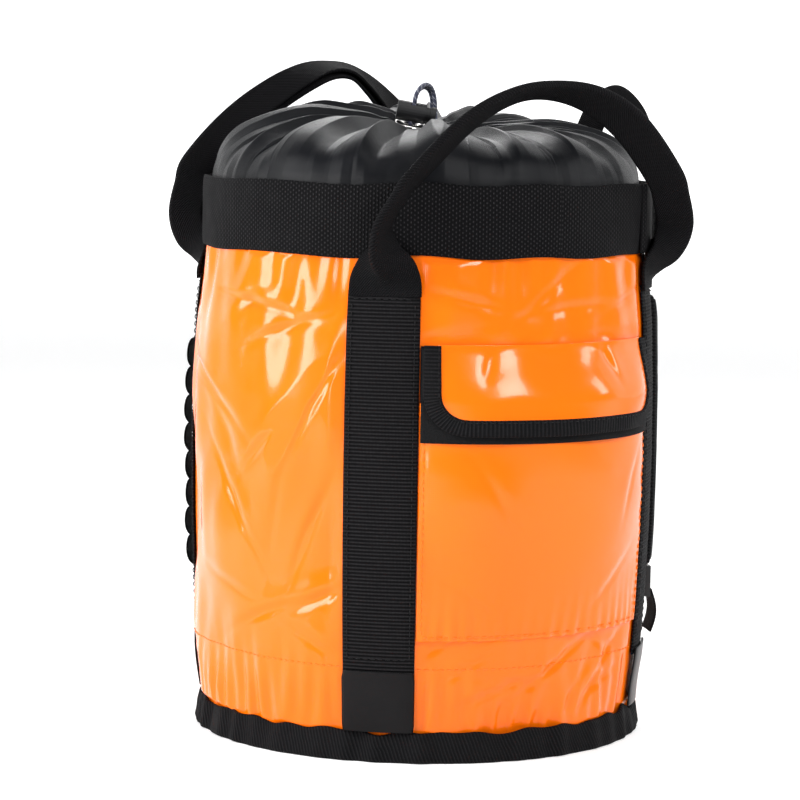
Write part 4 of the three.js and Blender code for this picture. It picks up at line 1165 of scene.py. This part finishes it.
def collar():
    """Gathered dome of cloth from inside the rim up and in to the hem."""
    inner = HEM_R + HEM_TUBE - 0.6
    profile = [(COLLAR_R, RIM_LOW + 8), (COLLAR_R, RIM_HIGH - 14), (COLLAR_R, RIM_HIGH - 4),
               (COLLAR_R - 2, RIM_HIGH + 7), (COLLAR_R - 9, RIM_HIGH + 19), (COLLAR_R - 25, RIM_HIGH + 30),
               (COLLAR_R - 51, RIM_HIGH + 38), (COLLAR_R - 80, RIM_HIGH + 42), (inner + 22, RIM_HIGH + 42),
               (inner + 8, HEM_Z + 5), (inner, HEM_Z)]
    line = catmull(profile, 190)
    angle = np.linspace(0, 360, 1201)[:-1, None]
    radius, z = line[None, :, 0], line[None, :, 1]
    reach = run(line)[None]
    tangent = np.gradient(line, axis=0)
    tangent /= np.linalg.norm(tangent, axis=1, keepdims=True)
    out_r, out_z = tangent[None, :, 1], -tangent[None, :, 0]
    gather = ease((reach - 38) / 38)
    folds = sharp_folds(angle, 131, 17, reach, gather) * (3.0 + 9.0 * np.exp(-((radius - 100) / 44) ** 2))
    fine = sharp_folds(angle, 83, 29, reach, gather) * gather * (0.8 + 3.2 * np.exp(-((radius - 80) / 50) ** 2))
    close = pleats(angle, 89, 30, 54, 2.0 * gather) * ease((70 - radius) / 45) * 0.8
    broad = pleats(angle, 97, 4, 9, 0.8 * gather) * ease((reach - 40) / 30) * 2.0
    rim_tucks = sharp_folds(angle, 101, 40, reach, gather) * np.exp(-((reach - 48) / 16) ** 2) * 1.1
    relief = (folds * gather + fine + close + broad + rim_tucks) * ease((radius - inner) / 9 + 0.2)
    relief = np.clip(relief, -9, 7) - 3.5 * ease((92 - radius) / 40) * ease((radius - inner) / 12)
    share = ease((COLLAR_R - radius) / ((COLLAR_R - HEM_R) * 0.6)) * (z > RIM_HIGH)
    lean = -HEM_LEAN * share * np.cos(np.radians(angle))
    outer = polar(angle, radius + relief * out_r, z + relief * out_z + lean)
    weave = np.stack(np.broadcast_arrays(np.radians(angle) * RIM_R, reach), -1)
    piece = shell("collar_cloth", outer, 0.7, weave, NYLON, None, ("collar",), wrap=True)
    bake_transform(piece)


def in_hem(points):
    return np.asarray(points) @ TILT.T + [0, 0, HEM_Z]


def hem():
    angle = np.linspace(0, 360, 541)[:-1, None]
    turn = np.linspace(0, 2 * math.pi, 33)[None, :-1]
    gather = pleats(angle, 103, 14, 30)
    size = HEM_TUBE - 0.5 + 0.65 * gather * (0.7 + 0.3 * np.cos(turn))
    ring_r = HEM_R + 0.4 * pleats(angle, 107, 6, 14)
    pinch = 1 - 0.07 * (np.cos(2 * turn) > 0.9)
    sections = in_hem(polar(angle, ring_r + size * pinch * np.cos(turn), size * pinch * np.sin(turn)))
    weave = np.stack(np.broadcast_arrays(turn * HEM_TUBE, np.radians(angle) * HEM_R), -1)
    loft("collar_hem_gathers", sections, weave, NYLON, "hem", ("collar_hem",), ring=True)


EYELET_SEAT = polar(np.array(-75.0), 19.0, np.array(HEM_TUBE + GAP))


def eyelet():
    turn = np.linspace(-0.35 * math.pi, 1.0 * math.pi, 12)
    flange = [(7.9 + 3.1 * math.cos(t), 0.35 + 1.2 * max(0, math.sin(t))) for t in turn if math.sin(t) >= 0]
    profile = [(4.6, -4.0), (5.4, -4.0), (5.4, 0.0), (11.0, 0.0)] + flange + [(4.8, 0.2), (4.6, -0.6)]
    turned("eyelet_ring", profile, in_hem(EYELET_SEAT), TILT, NICKEL, "hem", ("eyelet",))


def held_cord():
    """Both strands in the lock, down through the eyelet and round inside the hem."""
    top = 1.8 + 2 * 7 - GAP
    turn = math.radians(-35)
    aside = np.array([-math.sin(turn), math.cos(turn), 0])
    strand = lambda side, z: EYELET_SEAT + aside * side * 2.0 + [0, 0, z]
    low = 1.4 - HEM_TUBE
    around = [polar(np.array(-75 - t), HEM_R, np.array(0.0)) for t in np.linspace(19, 341, 19)]
    stops = [strand(-1, z) for z in (top, top / 2, 1, low)] + around + [strand(1, z) for z in (low, 1, top / 2, top)]
    tube("drawcord_held", in_hem(catmull(stops, 260)), CORD_R, CORD, "hem", ("drawcord",))


def lock_spring():
    """Small coil behind the plunger."""
    turn = math.radians(-35)
    along = np.array([math.cos(turn), math.sin(turn), 0])
    aside = np.array([-math.sin(turn), math.cos(turn), 0])
    u = np.linspace(0, 1, 180)[:, None]
    swing = u * 6 * math.pi
    middle = EYELET_SEAT + [0, 0, 8.8]
    route = (middle + along * (-8.5 + 4.4 * u) + aside * 4.0 * np.cos(swing) + np.array([0, 0, 4.0]) * np.sin(swing))
    coil = tube("cord_lock_coil", in_hem(route), 0.35, NICKEL, "cord_lock", ("cord_lock_spring",), sides=8)
    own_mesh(coil)


def dress(material, *nodes):
    for node in nodes:
        for seat in bpy.data.objects[node].material_slots:
            seat.material = material


bucket_wall()
base_binding()
rim_band()
straps()
handle("handle_front_webbing", FRONT_HANDLE, 0, ("handle_front",), 5)
handle("handle_rear_webbing", REAR_HANDLE, 180, ("handle_rear",), 6)
haul_loop()
pocket()
flap()
gear_loops()
back_panel()
collar()
hem()
eyelet()
held_cord()
lock_spring()
for k, (start, end) in enumerate(((-36, 36), (54, 126), (144, 216), (234, 306))):
    angle = np.linspace(start, end, 360)
    level = 63 + 0 * angle
    relief = wall_relief(angle, level)
    route = polar(angle, wall_r(level) + relief + 0.1, level)
    stitches(f"base_seam_stitches_{k}", route, polar(angle, 1.0, 0 * angle), ORANGE_THREAD)
dress(PLASTIC, "cord_lock_body", "cord_lock_plunger", "adjuster_buckle_left", "adjuster_buckle_right")
dress(HOOP, "rim_hoop")
dress(PVC, "base_panel")
studio()
